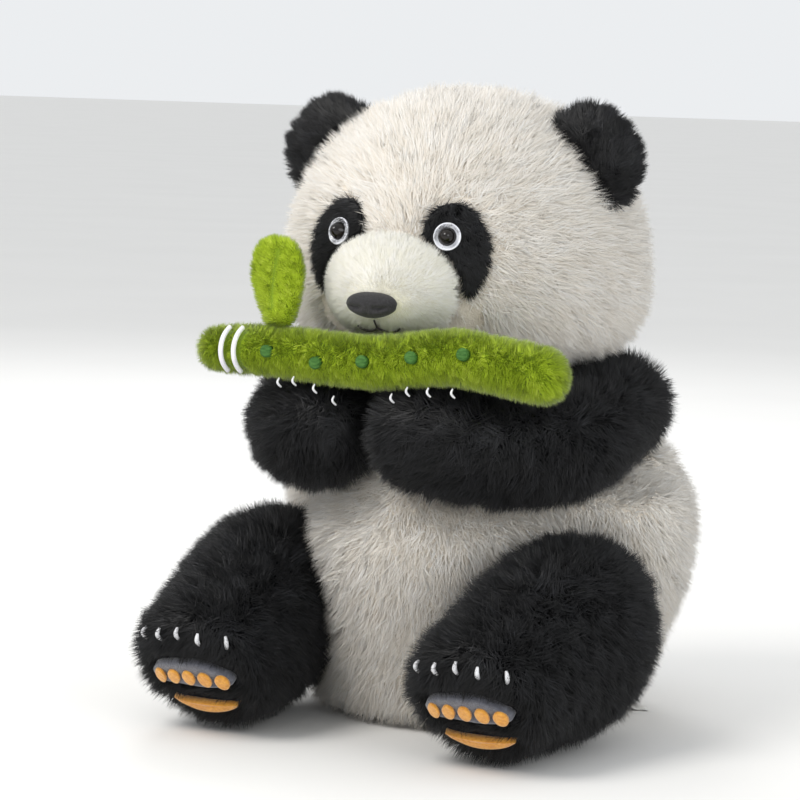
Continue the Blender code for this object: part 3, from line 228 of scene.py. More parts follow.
def largest_island(points, faces):
    """Keeps the biggest connected piece, which is the outer skin."""
    parent = np.arange(len(points))
    edges = np.vstack([faces[:, [0, 1]], faces[:, [1, 2]]])
    while True:
        low = np.minimum(parent[edges[:, 0]], parent[edges[:, 1]])
        np.minimum.at(parent, edges[:, 0], low)
        np.minimum.at(parent, edges[:, 1], low)
        jumped = parent[parent]
        if (jumped == parent).all() and (parent[edges[:, 0]] == parent[edges[:, 1]]).all():
            break
        parent = jumped
    labels, index, counts = np.unique(parent, return_inverse=True, return_counts=True)
    best = index == np.argmax(counts)
    order = np.cumsum(best) - 1
    kept = best[faces[:, 0]]
    return points[best], order[faces[kept]]


def finer(points, faces):
    """Splits every triangle into four at the middles of its edges."""
    corners = np.sort(np.vstack([faces[:, [0, 1]], faces[:, [1, 2]], faces[:, [2, 0]]]), axis=1)
    edges, index = np.unique(corners, axis=0, return_inverse=True)
    ab, bc, ca = (index.ravel() + len(points)).reshape(3, -1)
    a, b, c = faces.T
    split = [np.stack(row, axis=1) for row in ((a, ab, ca), (ab, b, bc), (ca, bc, c), (ab, bc, ca))]
    return np.vstack([points, points[edges].mean(axis=1)]), np.vstack(split)


def filled_skin(name, nodes, voxel, smooth, finish):
    """One closed skin round several nodes: their outer face, remeshed evenly and smoothed."""
    points, faces, base = [], [], 0
    for node in nodes:
        these, triangles = arrays_of(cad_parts[node])
        points.append(these)
        faces.append(triangles + base)
        base += len(these)
    made = new_object(name, np.vstack(points), np.vstack(faces), finish)
    remesh = made.modifiers.new("even", "REMESH")
    remesh.mode = "VOXEL"
    remesh.voxel_size = voxel
    settled(made)
    skin_points, skin_faces = largest_island(*arrays_of(made))
    bpy.data.objects.remove(made)
    return rounded(new_object(name, skin_points, skin_faces, finish), smooth)


def rounded(thing, times):
    """Smooths a mesh a few times over."""
    smoothing = thing.modifiers.new("smoothing", "SMOOTH")
    smoothing.factor = 0.5
    smoothing.iterations = times
    settled(thing)
    thing.data.shade_smooth()
    return thing


def renewed(thing, points, faces):
    """Gives an object a new mesh and keeps its name and finish."""
    name, finish = thing.name, thing.data.materials[0]
    bpy.data.objects.remove(thing)
    return new_object(name, points, faces, finish)


def swollen(thing, cap, shrink=0.0015, pressure=4.0):
    """Lets the filling press the skin out by cloth simulation, no further than the cap."""
    points, faces = arrays_of(thing)
    mesh = thing.data
    normals = np.empty(len(mesh.vertices) * 3, np.float32)
    mesh.vertices.foreach_get("normal", normals)
    start = points - normals.reshape(-1, 3) * shrink
    mesh.vertices.foreach_set("co", start.astype(np.float32).ravel())
    mesh.update()
    cloth = thing.modifiers.new("cloth", "CLOTH")
    cloth.settings.quality = 4
    cloth.settings.mass = 0.3
    cloth.settings.use_pressure = True
    cloth.settings.uniform_pressure_force = pressure
    cloth.settings.effector_weights.gravity = 0.0
    cloth.collision_settings.use_collision = False
    cloth.point_cache.frame_start = 1
    cloth.point_cache.frame_end = 20
    for moment in range(1, 21):
        SCENE.frame_set(moment)
    depsgraph = bpy.context.evaluated_depsgraph_get()
    moved = np.empty(len(mesh.vertices) * 3, np.float32)
    thing.evaluated_get(depsgraph).data.vertices.foreach_get("co", moved)
    thing.modifiers.clear()
    SCENE.frame_set(1)
    step = moved.reshape(-1, 3) - start
    reach = np.linalg.norm(step, axis=1, keepdims=True)
    step *= np.minimum(1.0, cap / np.maximum(reach, 1e-9))
    mesh.vertices.foreach_set("co", (start + step).astype(np.float32).ravel())
    mesh.update()
    return thing


def on_floor(thing):
    """Flattens what would lie under the ground."""
    for vertex in thing.data.vertices:
        vertex.co.z = max(vertex.co.z, FLOOR_CLEAR)
    thing.data.update()
    return thing


class Skin:
    """Points, triangles, normals and nearest-point questions of a skin."""

    def __init__(self, thing):
        self.points, self.faces = arrays_of(thing)
        normals = np.empty(len(thing.data.vertices) * 3, np.float32)
        thing.data.vertices.foreach_get("normal", normals)
        self.normals = normals.reshape(-1, 3).astype(float)
        self.tree = BVHTree.FromPolygons(self.points.tolist(), self.faces.tolist())

    def heights(self, points, reach):
        """Signed distance of each point, negative inside, out to reach; further points read 1."""
        out = np.full(len(points), 1.0)
        find = self.tree.find_nearest
        low, high = self.points.min(axis=0) - reach, self.points.max(axis=0) + reach
        close = np.flatnonzero(((points > low) & (points < high)).all(axis=1))
        for k, point in zip(close.tolist(), points[close].tolist()):
            place, normal, _, away = find(point)
            inside = (Vector(point) - place).dot(normal) < 0
            out[k] = -away if inside else away
        return out

    def hit(self, start, direction):
        place, normal, _, _ = self.tree.ray_cast(Vector(start), Vector(direction))
        return (np.array(place), np.array(normal)) if place is not None else (None, None)

    def face_hit(self, x, z):
        """The point of the front at x and z, and its normal."""
        return self.hit((x, -0.5, z), (0, 1, 0))


def unit_rows(rows):
    return rows / np.maximum(np.linalg.norm(rows, axis=1, keepdims=True), 1e-12)


# ---------------------------------------------------------------- pile
BLADE_TURNS = (0.0, math.tau / 3, 2 * math.tau / 3)
SHORTEST_STRAND = 0.0008
ROOT_SINK = 0.0004


def grow(name, skin, count, pile, tones, seed, width=0.00055, lean=0.7, rough=0.35, clump=0.006, pull=0.4,
         comb=(0.0, 0.0, -1.0), keep=None, scale=None):
    """Pile over a skin: tapered strands in combed clumps, each with one of the tones.

    lean is how far strands lie along the comb, rough how much clumps stray, pull how tightly they gather.
    keep(points, normals) says which roots exist and scale(points, normals) shortens their strands.
    """
    rng = np.random.default_rng(seed)
    corners = skin.points[skin.faces]
    areas = np.linalg.norm(np.cross(corners[:, 1] - corners[:, 0], corners[:, 2] - corners[:, 0]), axis=1)
    pick = np.searchsorted(np.cumsum(areas) / areas.sum(), rng.random(count) * 0.999999)
    a, b = rng.random(count), rng.random(count)
    over = a + b > 1
    a[over], b[over] = 1 - a[over], 1 - b[over]
    share = np.stack([1 - a - b, a, b], axis=1)[:, :, None]
    root = (corners[pick] * share).sum(axis=1)
    normal = unit_rows((skin.normals[skin.faces[pick]] * share).sum(axis=1))
    length = pile * (0.72 + 0.50 * rng.random(count))
    draws = rng.normal(size=(count, 3))
    roll = rng.normal(size=(count, 3))
    wobble = rng.normal(size=(count, 3)) * clump * 0.22
    tone_draw = rng.random(count)
    alive = np.ones(count, bool) if keep is None else keep(root, normal)
    strand_rows = (root, normal, length, draws, roll, wobble, tone_draw)
    root, normal, length, draws, roll, wobble, tone_draw = (row[alive] for row in strand_rows)
    if scale is not None:
        length = length * scale(root, normal)
    kept = length > SHORTEST_STRAND
    strand_rows = (root, normal, length, draws, roll, wobble, tone_draw)
    root, normal, length, draws, roll, wobble, tone_draw = (row[kept] for row in strand_rows)
    count = len(root)
    flow = np.asarray(comb(root, normal) if callable(comb) else np.tile(comb, (count, 1)), float)
    flow = unit_rows(flow - (flow * normal).sum(axis=1, keepdims=True) * normal)
    cell = np.floor((root + wobble) / clump).astype(np.int64)
    key = cell[:, 0] * 73856093 ^ cell[:, 1] * 19349663 ^ cell[:, 2] * 83492791
    _, tuft = np.unique(key, return_inverse=True)
    tuft = tuft.ravel()
    tufts = tuft.max() + 1
    size = np.bincount(tuft, minlength=tufts)[:, None]
    centre = np.stack([np.bincount(tuft, root[:, k], tufts) for k in range(3)], axis=1) / size
    sway = rng.normal(size=(tufts, 3)) * rough
    tuft_tone = rng.random(tufts)
    away = unit_rows(normal + flow * lean + sway[tuft] + draws * rough * 0.45)
    tip = root + away * length[:, None]
    gathered = centre[tuft] + unit_rows(normal + flow * lean + sway[tuft]) * length[:, None]
    tip = tip + (gathered - tip) * pull
    tip[:, 2] = np.maximum(tip[:, 2], FLOOR_CLEAR)
    across = unit_rows(np.cross(tip - root, roll))
    other = unit_rows(np.cross(tip - root, across))
    half = width * (0.5 + 0.5 * np.clip(length / pile, 0.3, 1.0))[:, None] * 0.6
    foot = root - normal * ROOT_SINK
    corner = [foot + (across * math.cos(turn) + other * math.sin(turn)) * half for turn in BLADE_TURNS]
    points = np.stack([*corner, tip], axis=1)
    shade = unit_rows(normal + draws * 0.12)
    tip_shade = unit_rows(normal + away * 0.4 + draws * 0.12)
    normals = np.stack([shade, shade, shade, tip_shade], axis=1)
    last = len(tones) - 1
    tone = np.clip(((0.5 * tuft_tone[tuft] + 0.5 * tone_draw) * (last + 1)).astype(int), 0, last)
    return strands(name, points, normals, tone, tones)


def strands(name, points, normals, tone, tones):
    """The mesh of a pile: a slim three-sided cone for each strand."""
    count = len(points)
    mesh = bpy.data.meshes.new(name)
    mesh.vertices.add(count * 4)
    mesh.vertices.foreach_set("co", points.astype(np.float32).ravel())
    mesh.loops.add(count * 9)
    pattern = np.array([0, 1, 3, 1, 2, 3, 2, 0, 3])
    loops = (np.arange(count)[:, None] * 4 + pattern[None]).ravel()
    mesh.loops.foreach_set("vertex_index", loops.astype(np.int32))
    mesh.polygons.add(count * 3)
    mesh.polygons.foreach_set("loop_start", (np.arange(count * 3) * 3).astype(np.int32))
    mesh.polygons.foreach_set("material_index", np.repeat(tone, 3).astype(np.int32))
    mesh.update(calc_edges=True)
    mesh.validate()
    for tone in tones:
        mesh.materials.append(tone)
    mesh.shade_smooth()
    mesh.normals_split_custom_set_from_vertices(normals.reshape(-1, 3).astype(np.float32))
    made = bpy.data.objects.new(name, mesh)
    SCENE.collection.objects.link(made)
    return made


def away_from(skins, clear, soft, least=0.15):
    """Shortens strands near other skins: none within clear, full length past soft."""

    def scale(points, normals):
        nearest = np.full(len(points), 1.0)
        for skin in skins:
            nearest = np.minimum(nearest, skin.heights(points, soft))
        grown = np.clip((nearest - clear) / (soft - clear), least, 1.0)
        return np.where(nearest < clear, 0.0, grown)

    return scale


def attach(thing, body, nodes=()):
    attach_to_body(thing, body)
    if nodes:
        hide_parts(*nodes)
    return thing


# ---------------------------------------------------------------- filled skins
# name: nodes, voxel, smoothing rounds, cap of the swelling (none for thin felt), finish
SKIN_PLAN = {
    "head": (["head_shell", "head_stuffing"], 0.0045, 8, 0.003, WHITE_BACKING),
    "muzzle": (["muzzle_shell", "muzzle_stuffing"], 0.0030, 6, 0.002, IVORY_BACKING),
    "body": (["body_shell", "body_stuffing", "pellet_bag"], 0.0050, 8, 0.003, WHITE_BACKING),
    "shoulders": (["shoulder_band"], 0.0035, 6, None, BLACK_BACKING),
    "arm_left": (["arm_left_shell", "arm_left_stuffing"], 0.0040, 8, 0.003, BLACK_BACKING),
    "arm_right": (["arm_right_shell", "arm_right_stuffing"], 0.0040, 8, 0.003, BLACK_BACKING),
    "leg_left": (["leg_left_shell", "leg_left_stuffing"], 0.0045, 8, 0.003, BLACK_BACKING),
    "leg_right": (["leg_right_shell", "leg_right_stuffing"], 0.0045, 8, 0.003, BLACK_BACKING),
    "bamboo": (["bamboo_shell", "bamboo_stuffing"], 0.0022, 5, 0.0015, GREEN_BACKING),
    "leaf": (["bamboo_leaf"], 0.0012, 3, None, GREEN_BACKING),
    "ear_left": (["ear_left"], 0.0020, 4, None, BLACK_BACKING),
    "ear_right": (["ear_right"], 0.0020, 4, None, BLACK_BACKING),
    "tail": (["tail"], 0.0022, 4, None, WHITE_BACKING),
    "patch_left": (["eye_patch_left"], 0.0009, 2, None, BLACK_BACKING),
    "patch_right": (["eye_patch_right"], 0.0009, 2, None, BLACK_BACKING),
}
BODY_OF = {"muzzle": "head", "body": "torso", "shoulders": "torso", "bamboo": "arm_left", "tail": "torso",
           "patch_left": "head", "patch_right": "head"}

FINE_VOXEL = 0.0015
skins = {}
for part, (nodes, voxel, rounds, cap, finish) in SKIN_PLAN.items():
    made = filled_skin(f"{part}_skin", nodes, voxel, rounds, finish)
    if cap:
        swollen(made, cap)
    if voxel > FINE_VOXEL:
        made = rounded(renewed(made, *finer(*arrays_of(made))), 3)
    on_floor(made)
    attach(made, BODY_OF.get(part, part), nodes)
    skins[part] = Skin(made)


def pile(part, skin_name, count, length, tones, parts=1, **options):
    """Pile over a named skin, in pieces of a workable size that ride with it."""
    for k in range(parts):
        label = f"{part}_pile_{k + 1}" if parts > 1 else f"{part}_pile"
        seed = sum(ord(letter) * (place + 1) for place, letter in enumerate(label))
        made = grow(label, skins[skin_name], count // parts, length, tones, seed, **options)
        attach(made, BODY_OF.get(skin_name, skin_name))


def product(*scales):
    """All the shortenings together."""

    def scale(points, normals):
        grown = np.ones(len(points))
        for one in scales:
            live = grown > 0
            if live.any():
                grown[live] *= one(points[live], normals[live])
        return grown

    return scale


def near(names, clear, soft, least=0.15):
    return away_from([skins[name] for name in names], clear, soft, least)


# ---------------------------------------------------------------- face
FACE = np.array([0.0, low_of("nose")[1], middle_of("nose")[2]])


def revolved(name, profile, centre, axis, finish, turns=48):
    """A closed round shape: profile lists (radius, height) along the axis, from the back to the tip."""
    axis = unit_rows(np.asarray(axis, float)[None])[0]
    side = unit_rows(np.cross(axis, (0.0, 0.0, 1.0))[None])[0]
    up = np.cross(side, axis)
    angles = np.arange(turns) * math.tau / turns
    points = []
    for radius, height in profile:
        for angle in angles:
            points.append(centre + axis * height + (side * math.cos(angle) + up * math.sin(angle)) * radius)
    faces = ring_faces(len(profile) - 1, turns)
    faces.append(tuple(range(turns))[::-1])
    faces.append(tuple((len(profile) - 1) * turns + k for k in range(turns)))
    return mended(new_object(name, points, faces, finish))


def tube(name, route, radii, finish, sides=10):
    """A tube along a route with its own radius at each point, closed at both ends."""
    route = np.asarray(route, float)
    ahead = unit_rows(np.gradient(route, axis=0))
    guide = np.array([0.0, 0.0, 1.0]) if abs(ahead[0][2]) < 0.9 else np.array([1.0, 0.0, 0.0])
    points = []
    for place, along, radius in zip(route, ahead, radii):
        side = unit_rows(np.cross(along, guide)[None])[0]
        guide = np.cross(side, along)
        for k in range(sides):
            angle = 2 * math.pi * k / sides
            points.append(place + (side * math.cos(angle) + guide * math.sin(angle)) * radius)
    faces = ring_faces(len(route) - 1, sides)
    faces.append(tuple(range(sides))[::-1])
    faces.append(tuple((len(route) - 1) * sides + k for k in range(sides)))
    return new_object(name, points, faces, finish)


def smooth_route(points, count):
    """A Catmull-Rom curve through the points."""
    points = np.asarray(points, float)
    padded = np.vstack([2 * points[0] - points[1], points, 2 * points[-1] - points[-2]])
    out = []
    for place in np.linspace(0, len(points) - 1, count):
        k = min(int(place), len(points) - 2)
        t = place - k
        a, b, c, d = padded[k], padded[k + 1], padded[k + 2], padded[k + 3]
        square, cube = 2 * a - 5 * b + 4 * c - d, 3 * b - a - 3 * c + d
        out.append(0.5 * (2 * b + (c - a) * t + square * t**2 + cube * t**3))
    return np.array(out)


GLOSS_BLACK = new_material("eye_black", (0.004, 0.004, 0.005), 0.04, specular=0.4)
mottled(GLOSS_BLACK, (0.003, 0.003, 0.003), (0.010, 0.006, 0.004), 300.0)
RING_WHITE = new_material("ring_white", (0.80, 0.81, 0.86), 0.22)
mottled(RING_WHITE, (0.74, 0.75, 0.82), (0.84, 0.85, 0.88), 400.0)
WASHER_WHITE = new_material("washer_white", (0.7, 0.7, 0.68), 0.4)
mottled(WASHER_WHITE, (0.62, 0.62, 0.60), (0.74, 0.74, 0.72), 200.0)
NOSE_FLOCK = new_material("nose_flock", (0.022, 0.021, 0.022), 0.7, sheen=0.10, specular=0.3)
mottled(NOSE_FLOCK, (0.012, 0.011, 0.012), (0.032, 0.031, 0.033), 900.0, bump=0.5, bump_scale=2600.0)
BLACK_THREAD = new_material("black_thread", (0.02, 0.016, 0.015), 0.6)
mottled(BLACK_THREAD, (0.012, 0.010, 0.009), (0.045, 0.036, 0.034), 1500.0, bump=0.5, bump_scale=3000.0)
CLAW_THREAD = new_material("claw_thread", (0.72, 0.72, 0.74), 0.35, sheen=0.3)
mottled(CLAW_THREAD, (0.62, 0.62, 0.64), (0.82, 0.82, 0.84), 900.0,
        stretch=(1, 1, 0.2), bump=0.4, bump_scale=2500.0)
SATIN = new_material("satin_thread", (0.82, 0.80, 0.86), 0.35, sheen=0.4)
mottled(SATIN, (0.74, 0.72, 0.80), (0.88, 0.86, 0.90), 700.0,
        stretch=(1, 0.2, 0.2), bump=0.5, bump_scale=1800.0)
GREY_FELT = new_material("grey_felt", (0.10, 0.10, 0.125), 0.85, sheen=0.5)
mottled(GREY_FELT, (0.070, 0.072, 0.090), (0.14, 0.145, 0.175), 500.0, bump=0.7, bump_scale=1500.0)
ORANGE_FELT = new_material("orange_felt", (0.80, 0.34, 0.030), 0.8, sheen=0.5)
mottled(ORANGE_FELT, (0.68, 0.25, 0.016), (0.90, 0.44, 0.055), 500.0, bump=0.7, bump_scale=1500.0)


def axis_of(node):
    """The thin direction of a round node, towards the front."""
    points, _ = arrays_of(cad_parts[node])
    _, _, directions = np.linalg.svd(points - points.mean(axis=0), full_matrices=False)
    axis = directions[2]
    return axis if axis[1] < 0 else -axis


def make_eye(side):
    """A domed safety eye with a white ring round it."""
    node = f"eye_{side}"
    axis = axis_of(f"eye_ring_{side}")
    points, _ = arrays_of(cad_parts[node])
    along = (points - points.mean(axis=0)) @ axis
    spread = points - points.mean(axis=0) - along[:, None] * axis
    radius = np.linalg.norm(spread, axis=1).max()
    centre = points.mean(axis=0) + axis * along.min()
    depth = along.max() - along.min()
    full = radius * 1.15
    dome = [(full * 0.97, 0.0)]
    for k in range(13):
        angle = math.pi / 2 * k / 13
        dome.append((full * math.cos(angle), depth * 0.15 + depth * 0.85 * math.sin(angle)))
    dome.append((full * 0.02, depth))
    attach(revolved(f"eye_dome_{side}", dome, centre, axis, GLOSS_BLACK), "head", [node])
    ring = f"eye_ring_{side}"
    points, _ = arrays_of(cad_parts[ring])
    along = (points - centre) @ axis
    spread = points - centre - along[:, None] * axis
    outer = radius * 1.30
    low, high = along.min(), along.max()
    inner = radius * 1.13
    profile = [(inner, low), (outer * 0.96, low)]
    for k in range(7):
        angle = math.pi * k / 6
        middle, half = (inner + outer) / 2, (outer - inner) / 2
        profile.append((middle + half * math.cos(angle), high - half * 0.6 + half * 0.9 * math.sin(angle)))
    attach(revolved(f"eye_rim_{side}", profile, centre, axis, RING_WHITE), "head", [ring])
    return centre, axis, outer


NOSTRIL_DEPTH = 0.0026
NOSE_GROOVE = 0.0010


def make_nose():
    """A flocked nose: wide at the top, with two long nostrils and a round lobe between them."""
    low, high = low_of("nose"), high_of("nose")
    half_x, half_z = (high[0] - low[0]) / 2, (high[2] - low[2]) / 2
    centre_z, front, back = (low[2] + high[2]) / 2, low[1] - 0.0010, low[1] + 0.0070
    rings, turns = 22, 72
    points = []
    for ring in range(rings + 1):
        share = math.sin(math.pi / 2 * ring / rings)
        for k in range(turns):
            angle = 2 * math.pi * k / turns
            wide = half_x * (1.0 if math.sin(angle) > 0 else 0.97)
            x = wide * share * math.copysign(abs(math.cos(angle)) ** 0.85, math.cos(angle))
            taper = 1.0 if math.sin(angle) > 0 else 1.0 - 0.32 * (abs(x) / half_x) ** 1.5
            z = half_z * share * taper * math.copysign(abs(math.sin(angle)) ** 0.80, math.sin(angle))
            crown = math.sqrt(max(0.0, 1 - share ** 2.6))
            y = back + (front - back) * crown
            across, rise = abs(x) / half_x, z / half_z
            nostril = math.exp(-(((across - 0.42) / 0.20) ** 2) - ((rise + 0.22) / 0.20) ** 2)
            nostril += 0.6 * math.exp(-(((across - 0.66) / 0.16) ** 2) - ((rise + 0.12) / 0.16) ** 2)
            groove = math.exp(-((across / 0.08) ** 2)) * max(0.0, -rise)
            y += NOSTRIL_DEPTH * nostril * crown + NOSE_GROOVE * groove
            points.append((x, y, centre_z + z))
    faces = ring_faces(rings, turns)
    faces.append([rings * turns + k for k in range(turns)])
    attach(mended(new_object("nose_flocked", points, faces, NOSE_FLOCK)), "head", ["nose"])


SMILE_RISE = 0.0020


def make_mouth():
    """A thin stitched mouth under the nose: a centre line and a small smile."""
    bottom = low_of("nose")[2]
    turn = low_of("mouth_stitch_centre")[2] + SMILE_RISE
    smile = high_of("mouth_stitch_left")[0]
    bow = [(0.0, 0.0), (0.35, -0.0016), (0.75, -0.0012), (1.0, 0.0006)]
    routes = {
        "centre": [(0.0, bottom + 0.001), (0.0, turn)],
        "left": [(smile * share, turn + rise) for share, rise in bow],
        "right": [(-smile * share, turn + rise) for share, rise in bow],
    }
    marks = []
    for part, route in routes.items():
        places = []
        for x, z in smooth_route([(x, z, 0) for x, z in route], 16)[:, :2]:
            place, normal = skins["muzzle"].face_hit(x, z)
            places.append(place + normal * 0.0036)
        marks.extend(places)
        radii = np.full(len(places), 0.00060)
        made = tube(f"mouth_thread_{part}", places, radii, BLACK_THREAD, 8)
        attach(made, "head", [f"mouth_stitch_{part}"])
    return np.array(marks)


eyes = {side: make_eye(side) for side in ("left", "right")}
make_nose()
mouth_marks = make_mouth()
for node in ("eye_washer_left", "eye_washer_right", "nose_washer"):
    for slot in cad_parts[node].material_slots:
        slot.link = "OBJECT"
        slot.material = WASHER_WHITE


def clear_of(marks, clear, soft, least=0.3):
    """Shortens strands near a set of points."""
    marks = np.asarray(marks)

    def scale(points, normals):
        away = np.full(len(points), 1.0)
        for mark in marks:
            away = np.minimum(away, np.linalg.norm(points - mark, axis=1))
        grown = np.clip((away - clear) / (soft - clear), least, 1.0)
        return np.where(away < clear, 0.0, grown)

    return scale


nose_marks = [(x, low_of("nose")[1] + 0.006, middle_of("nose")[2]) for x in np.linspace(-0.012, 0.012, 7)]


# ---------------------------------------------------------------- feet
FELT_SINK = 0.0012


def felt(name, outline, lift, bulge, finish, body, nodes=(), rings=8):
    """A thin felt shape: outline points on a surface with their normals, crowned towards the middle."""
    centre = outline[:, :3].mean(axis=0)
    normal = unit_rows(outline[:, 3:].mean(axis=0)[None])[0]
    count = len(outline)
    points = []
    for ring in range(rings + 1):
        share = ring / rings
        for k in range(count):
            flat = centre + (outline[k, :3] - centre) * share
            crown = bulge * math.sqrt(max(0.0, 1 - share ** 3))
            points.append(flat + normal * (lift + crown))
    for k in range(count):
        points.append(outline[k, :3] + (outline[k, :3] - centre) * 0.01 - normal * FELT_SINK)
    faces = ring_faces(rings + 1, count)
    faces.append([(rings + 1) * count + k for k in range(count)])
    return attach(mended(new_object(name, points, faces, finish)), body, nodes)


CLAW_LENGTH = 0.0075


def claw(name, root, out, along, finish, body, nodes, length=CLAW_LENGTH, radius=0.00120, curl=0.35):
    """A tapered stitched claw that arches out of the pile and back down."""
    shares = np.linspace(0, 1, 11)
    arch = [length * curl * math.sin(math.pi * min(1.0, share * 1.05)) for share in shares]
    route = [root + along * length * share + out * rise for share, rise in zip(shares, arch)]
    radii = [radius * (0.55 + 0.6 * math.sin(math.pi * (0.15 + 0.8 * share))) for share in shares]
    attach(tube(name, route, radii, finish, 10), body, nodes)


SOLE_TILT = math.radians(40.0)
SOLE_UP = np.array([0.0, -math.sin(SOLE_TILT), math.cos(SOLE_TILT)])
SOLE_OUT = np.array([0.0, -math.cos(SOLE_TILT), -math.sin(SOLE_TILT)])
ACROSS = np.array([1.0, 0.0, 0.0])
TOE_HALF = (0.0275, 0.0115)
HEEL_HALF = (0.0225, 0.0068)
PATCH_PROUD = 0.0042
PATCH_CROWN = 0.0012
sole_marks = []


def on_sole(leg, centre, u, v):
    """The point of a leg's skin under (u, v) on its sole, and the way out."""
    start = centre + ACROSS * u + SOLE_UP * v + SOLE_OUT * 0.06
    place, normal = skins[leg].hit(start, -SOLE_OUT)
    if place is None:
        return None, None
    return place, normal


def make_sole(side):
    """The grey toe patch with five orange toes, the orange heel pad and the claws of a foot."""
    leg = f"leg_{side}"
    toe_middle, heel_middle = middle_of(f"{leg}_toe_patch"), middle_of(f"{leg}_heel_pad")
    sides = 56

    def outline_at(middle, shape, proud):
        rows = []
        for k in range(sides):
            u, v = shape(2 * math.pi * k / sides)
            place, _ = on_sole(leg, middle, u, v)
            rows.append(np.concatenate([place + SOLE_OUT * proud, SOLE_OUT]))
        return np.array(rows)

    def bean(angle):
        x = TOE_HALF[0] * math.copysign(abs(math.cos(angle)) ** 0.9, math.cos(angle))
        bow = 0.50 * TOE_HALF[1] * (1 - (x / TOE_HALF[0]) ** 2) - 0.0015
        scallop = 1 + 0.05 * math.cos(angle * 5)
        return x, TOE_HALF[1] * 0.80 * scallop * math.sin(angle) + bow

    def lens(angle):
        x = HEEL_HALF[0] * math.cos(angle)
        belly = (1 - abs(math.cos(angle)) ** 2.2) ** 0.8
        top = 0.35 if math.sin(angle) > 0 else 1.0
        return x, HEEL_HALF[1] * top * math.copysign(belly, math.sin(angle)) + 0.0010

    def toe(k):
        across = (k - 2) * TOE_HALF[0] * 0.385
        lift = 0.42 * TOE_HALF[1] * (1 - (across / TOE_HALF[0]) ** 2) - 0.0030
        lean = -math.copysign(0.10, across) if k != 2 else 0.0

        def oval(angle):
            a, b = 0.0040 * math.cos(angle), 0.0056 * math.sin(angle)
            return across + a + b * lean, lift + b

        return oval

    bean_edge, lens_edge = outline_at(toe_middle, bean, 0.0), outline_at(heel_middle, lens, 0.0)
    felt(f"toe_patch_{side}", bean_edge, PATCH_PROUD, PATCH_CROWN, GREY_FELT, leg,
         [f"{leg}_toe_patch"])
    for k in range(5):
        edge = outline_at(toe_middle, toe(k), PATCH_PROUD + 0.0006)
        felt(f"toe_{side}_{k + 1}", edge, 0.0005, 0.0004, ORANGE_FELT, leg, rings=5)
    felt(f"heel_{side}", lens_edge, PATCH_PROUD, PATCH_CROWN, ORANGE_FELT, leg,
         [f"{leg}_heel_pad"])
    for middle, shape in ((toe_middle, bean), (heel_middle, lens)):
        for share in (0.15, 0.45, 0.72, 0.95):
            for k in range(0, sides, 3):
                u, v = shape(2 * math.pi * k / sides)
                place, _ = on_sole(leg, middle, u * share, v * share)
                sole_marks.append(place)
    for k in range(1, 6):
        node = f"claw_foot_{side}_{k}"
        root = middle_of(node)
        place, normal = skins[leg].hit(root + SOLE_OUT * 0.05, -SOLE_OUT)
        out = unit_rows((normal + SOLE_OUT * 0.3)[None])[0]
        along = unit_rows((np.array([0.0, -0.25, 1.0]) - out * out[2])[None])[0]
        start = place + out * (BLACK_PILE * 0.42) - along * CLAW_LENGTH * 0.5
        claw(f"foot_claw_{side}_{k}", start, out, along, CLAW_THREAD, leg, [node])


for side in ("left", "right"):
    make_sole(side)


# ---------------------------------------------------------------- bamboo
BAMBOO_FRONT = low_of("bamboo_shell")[1]


def bamboo_axis(x):
    """Middle of the stalk at x."""
    points = skins["bamboo"].points
    slab = points[np.abs(points[:, 0] - x) < 0.004]
    return (slab.min(axis=0) + slab.max(axis=0)) / 2 * np.array([0, 1, 1]) + np.array([x, 0, 0])


DOT_PLACES = (-0.0600, -0.0270, 0.0040, 0.0360, 0.0690)
DOT_RISES = (0.0010, -0.0020, 0.0010, 0.0015, 0.0040)
DOT_HALF = 0.0040
DOT_THREAD = new_material("dot_thread", (0.045, 0.14, 0.025), 0.7, specular=0.2)
mottled(DOT_THREAD, (0.025, 0.090, 0.015), (0.075, 0.19, 0.040), 900.0,
        stretch=(0.25, 1, 1), bump=0.5, bump_scale=1800.0)
dots = []
for x, rise in zip(DOT_PLACES, DOT_RISES):
    middle = bamboo_axis(x)
    place, normal = skins["bamboo"].hit((x, -0.4, middle[2] + rise), (0, 1, 0))
    dots.append(place)
    across = unit_rows(np.cross(normal, (0.0, 0.0, 1.0))[None])[0]
    rise_way = np.cross(across, normal)
    ring = []
    for turn in np.linspace(0, math.tau, 33)[:-1]:
        spoke = across * math.cos(turn) + rise_way * math.sin(turn)
        ring.append(np.concatenate([place + spoke * DOT_HALF * 0.92, normal]))
    label = f"bamboo_dot_{len(dots)}"
    felt(label, np.array(ring), 0.0034, 0.0008, DOT_THREAD, "arm_left", rings=5)
dots = np.array(dots)


def make_stripe(k):
    """A white satin stripe sewn across the stalk, proud of the pile."""
    node = f"bamboo_stripe_{k}"
    x = middle_of(node)[0]
    middle = bamboo_axis(x)
    half = (middle[2] - skins["bamboo"].points[np.abs(skins["bamboo"].points[:, 0] - x) < 0.004][:, 2].min())
    ring = []
    for angle in np.linspace(math.radians(-58), math.radians(62), 27):
        out = np.array([0.0, -math.cos(angle), math.sin(angle)])
        ring.append(middle + out * (half + 0.0030) + np.array([-0.0030 * math.cos(angle), 0, 0]))
    ring = np.array(ring)
    made = tube(f"stripe_satin_{k}", ring, np.full(len(ring), 0.00150), SATIN, 10)
    attach(made, "arm_left", [node])
    return ring


stripes = np.vstack([make_stripe(k) for k in (1, 2)])

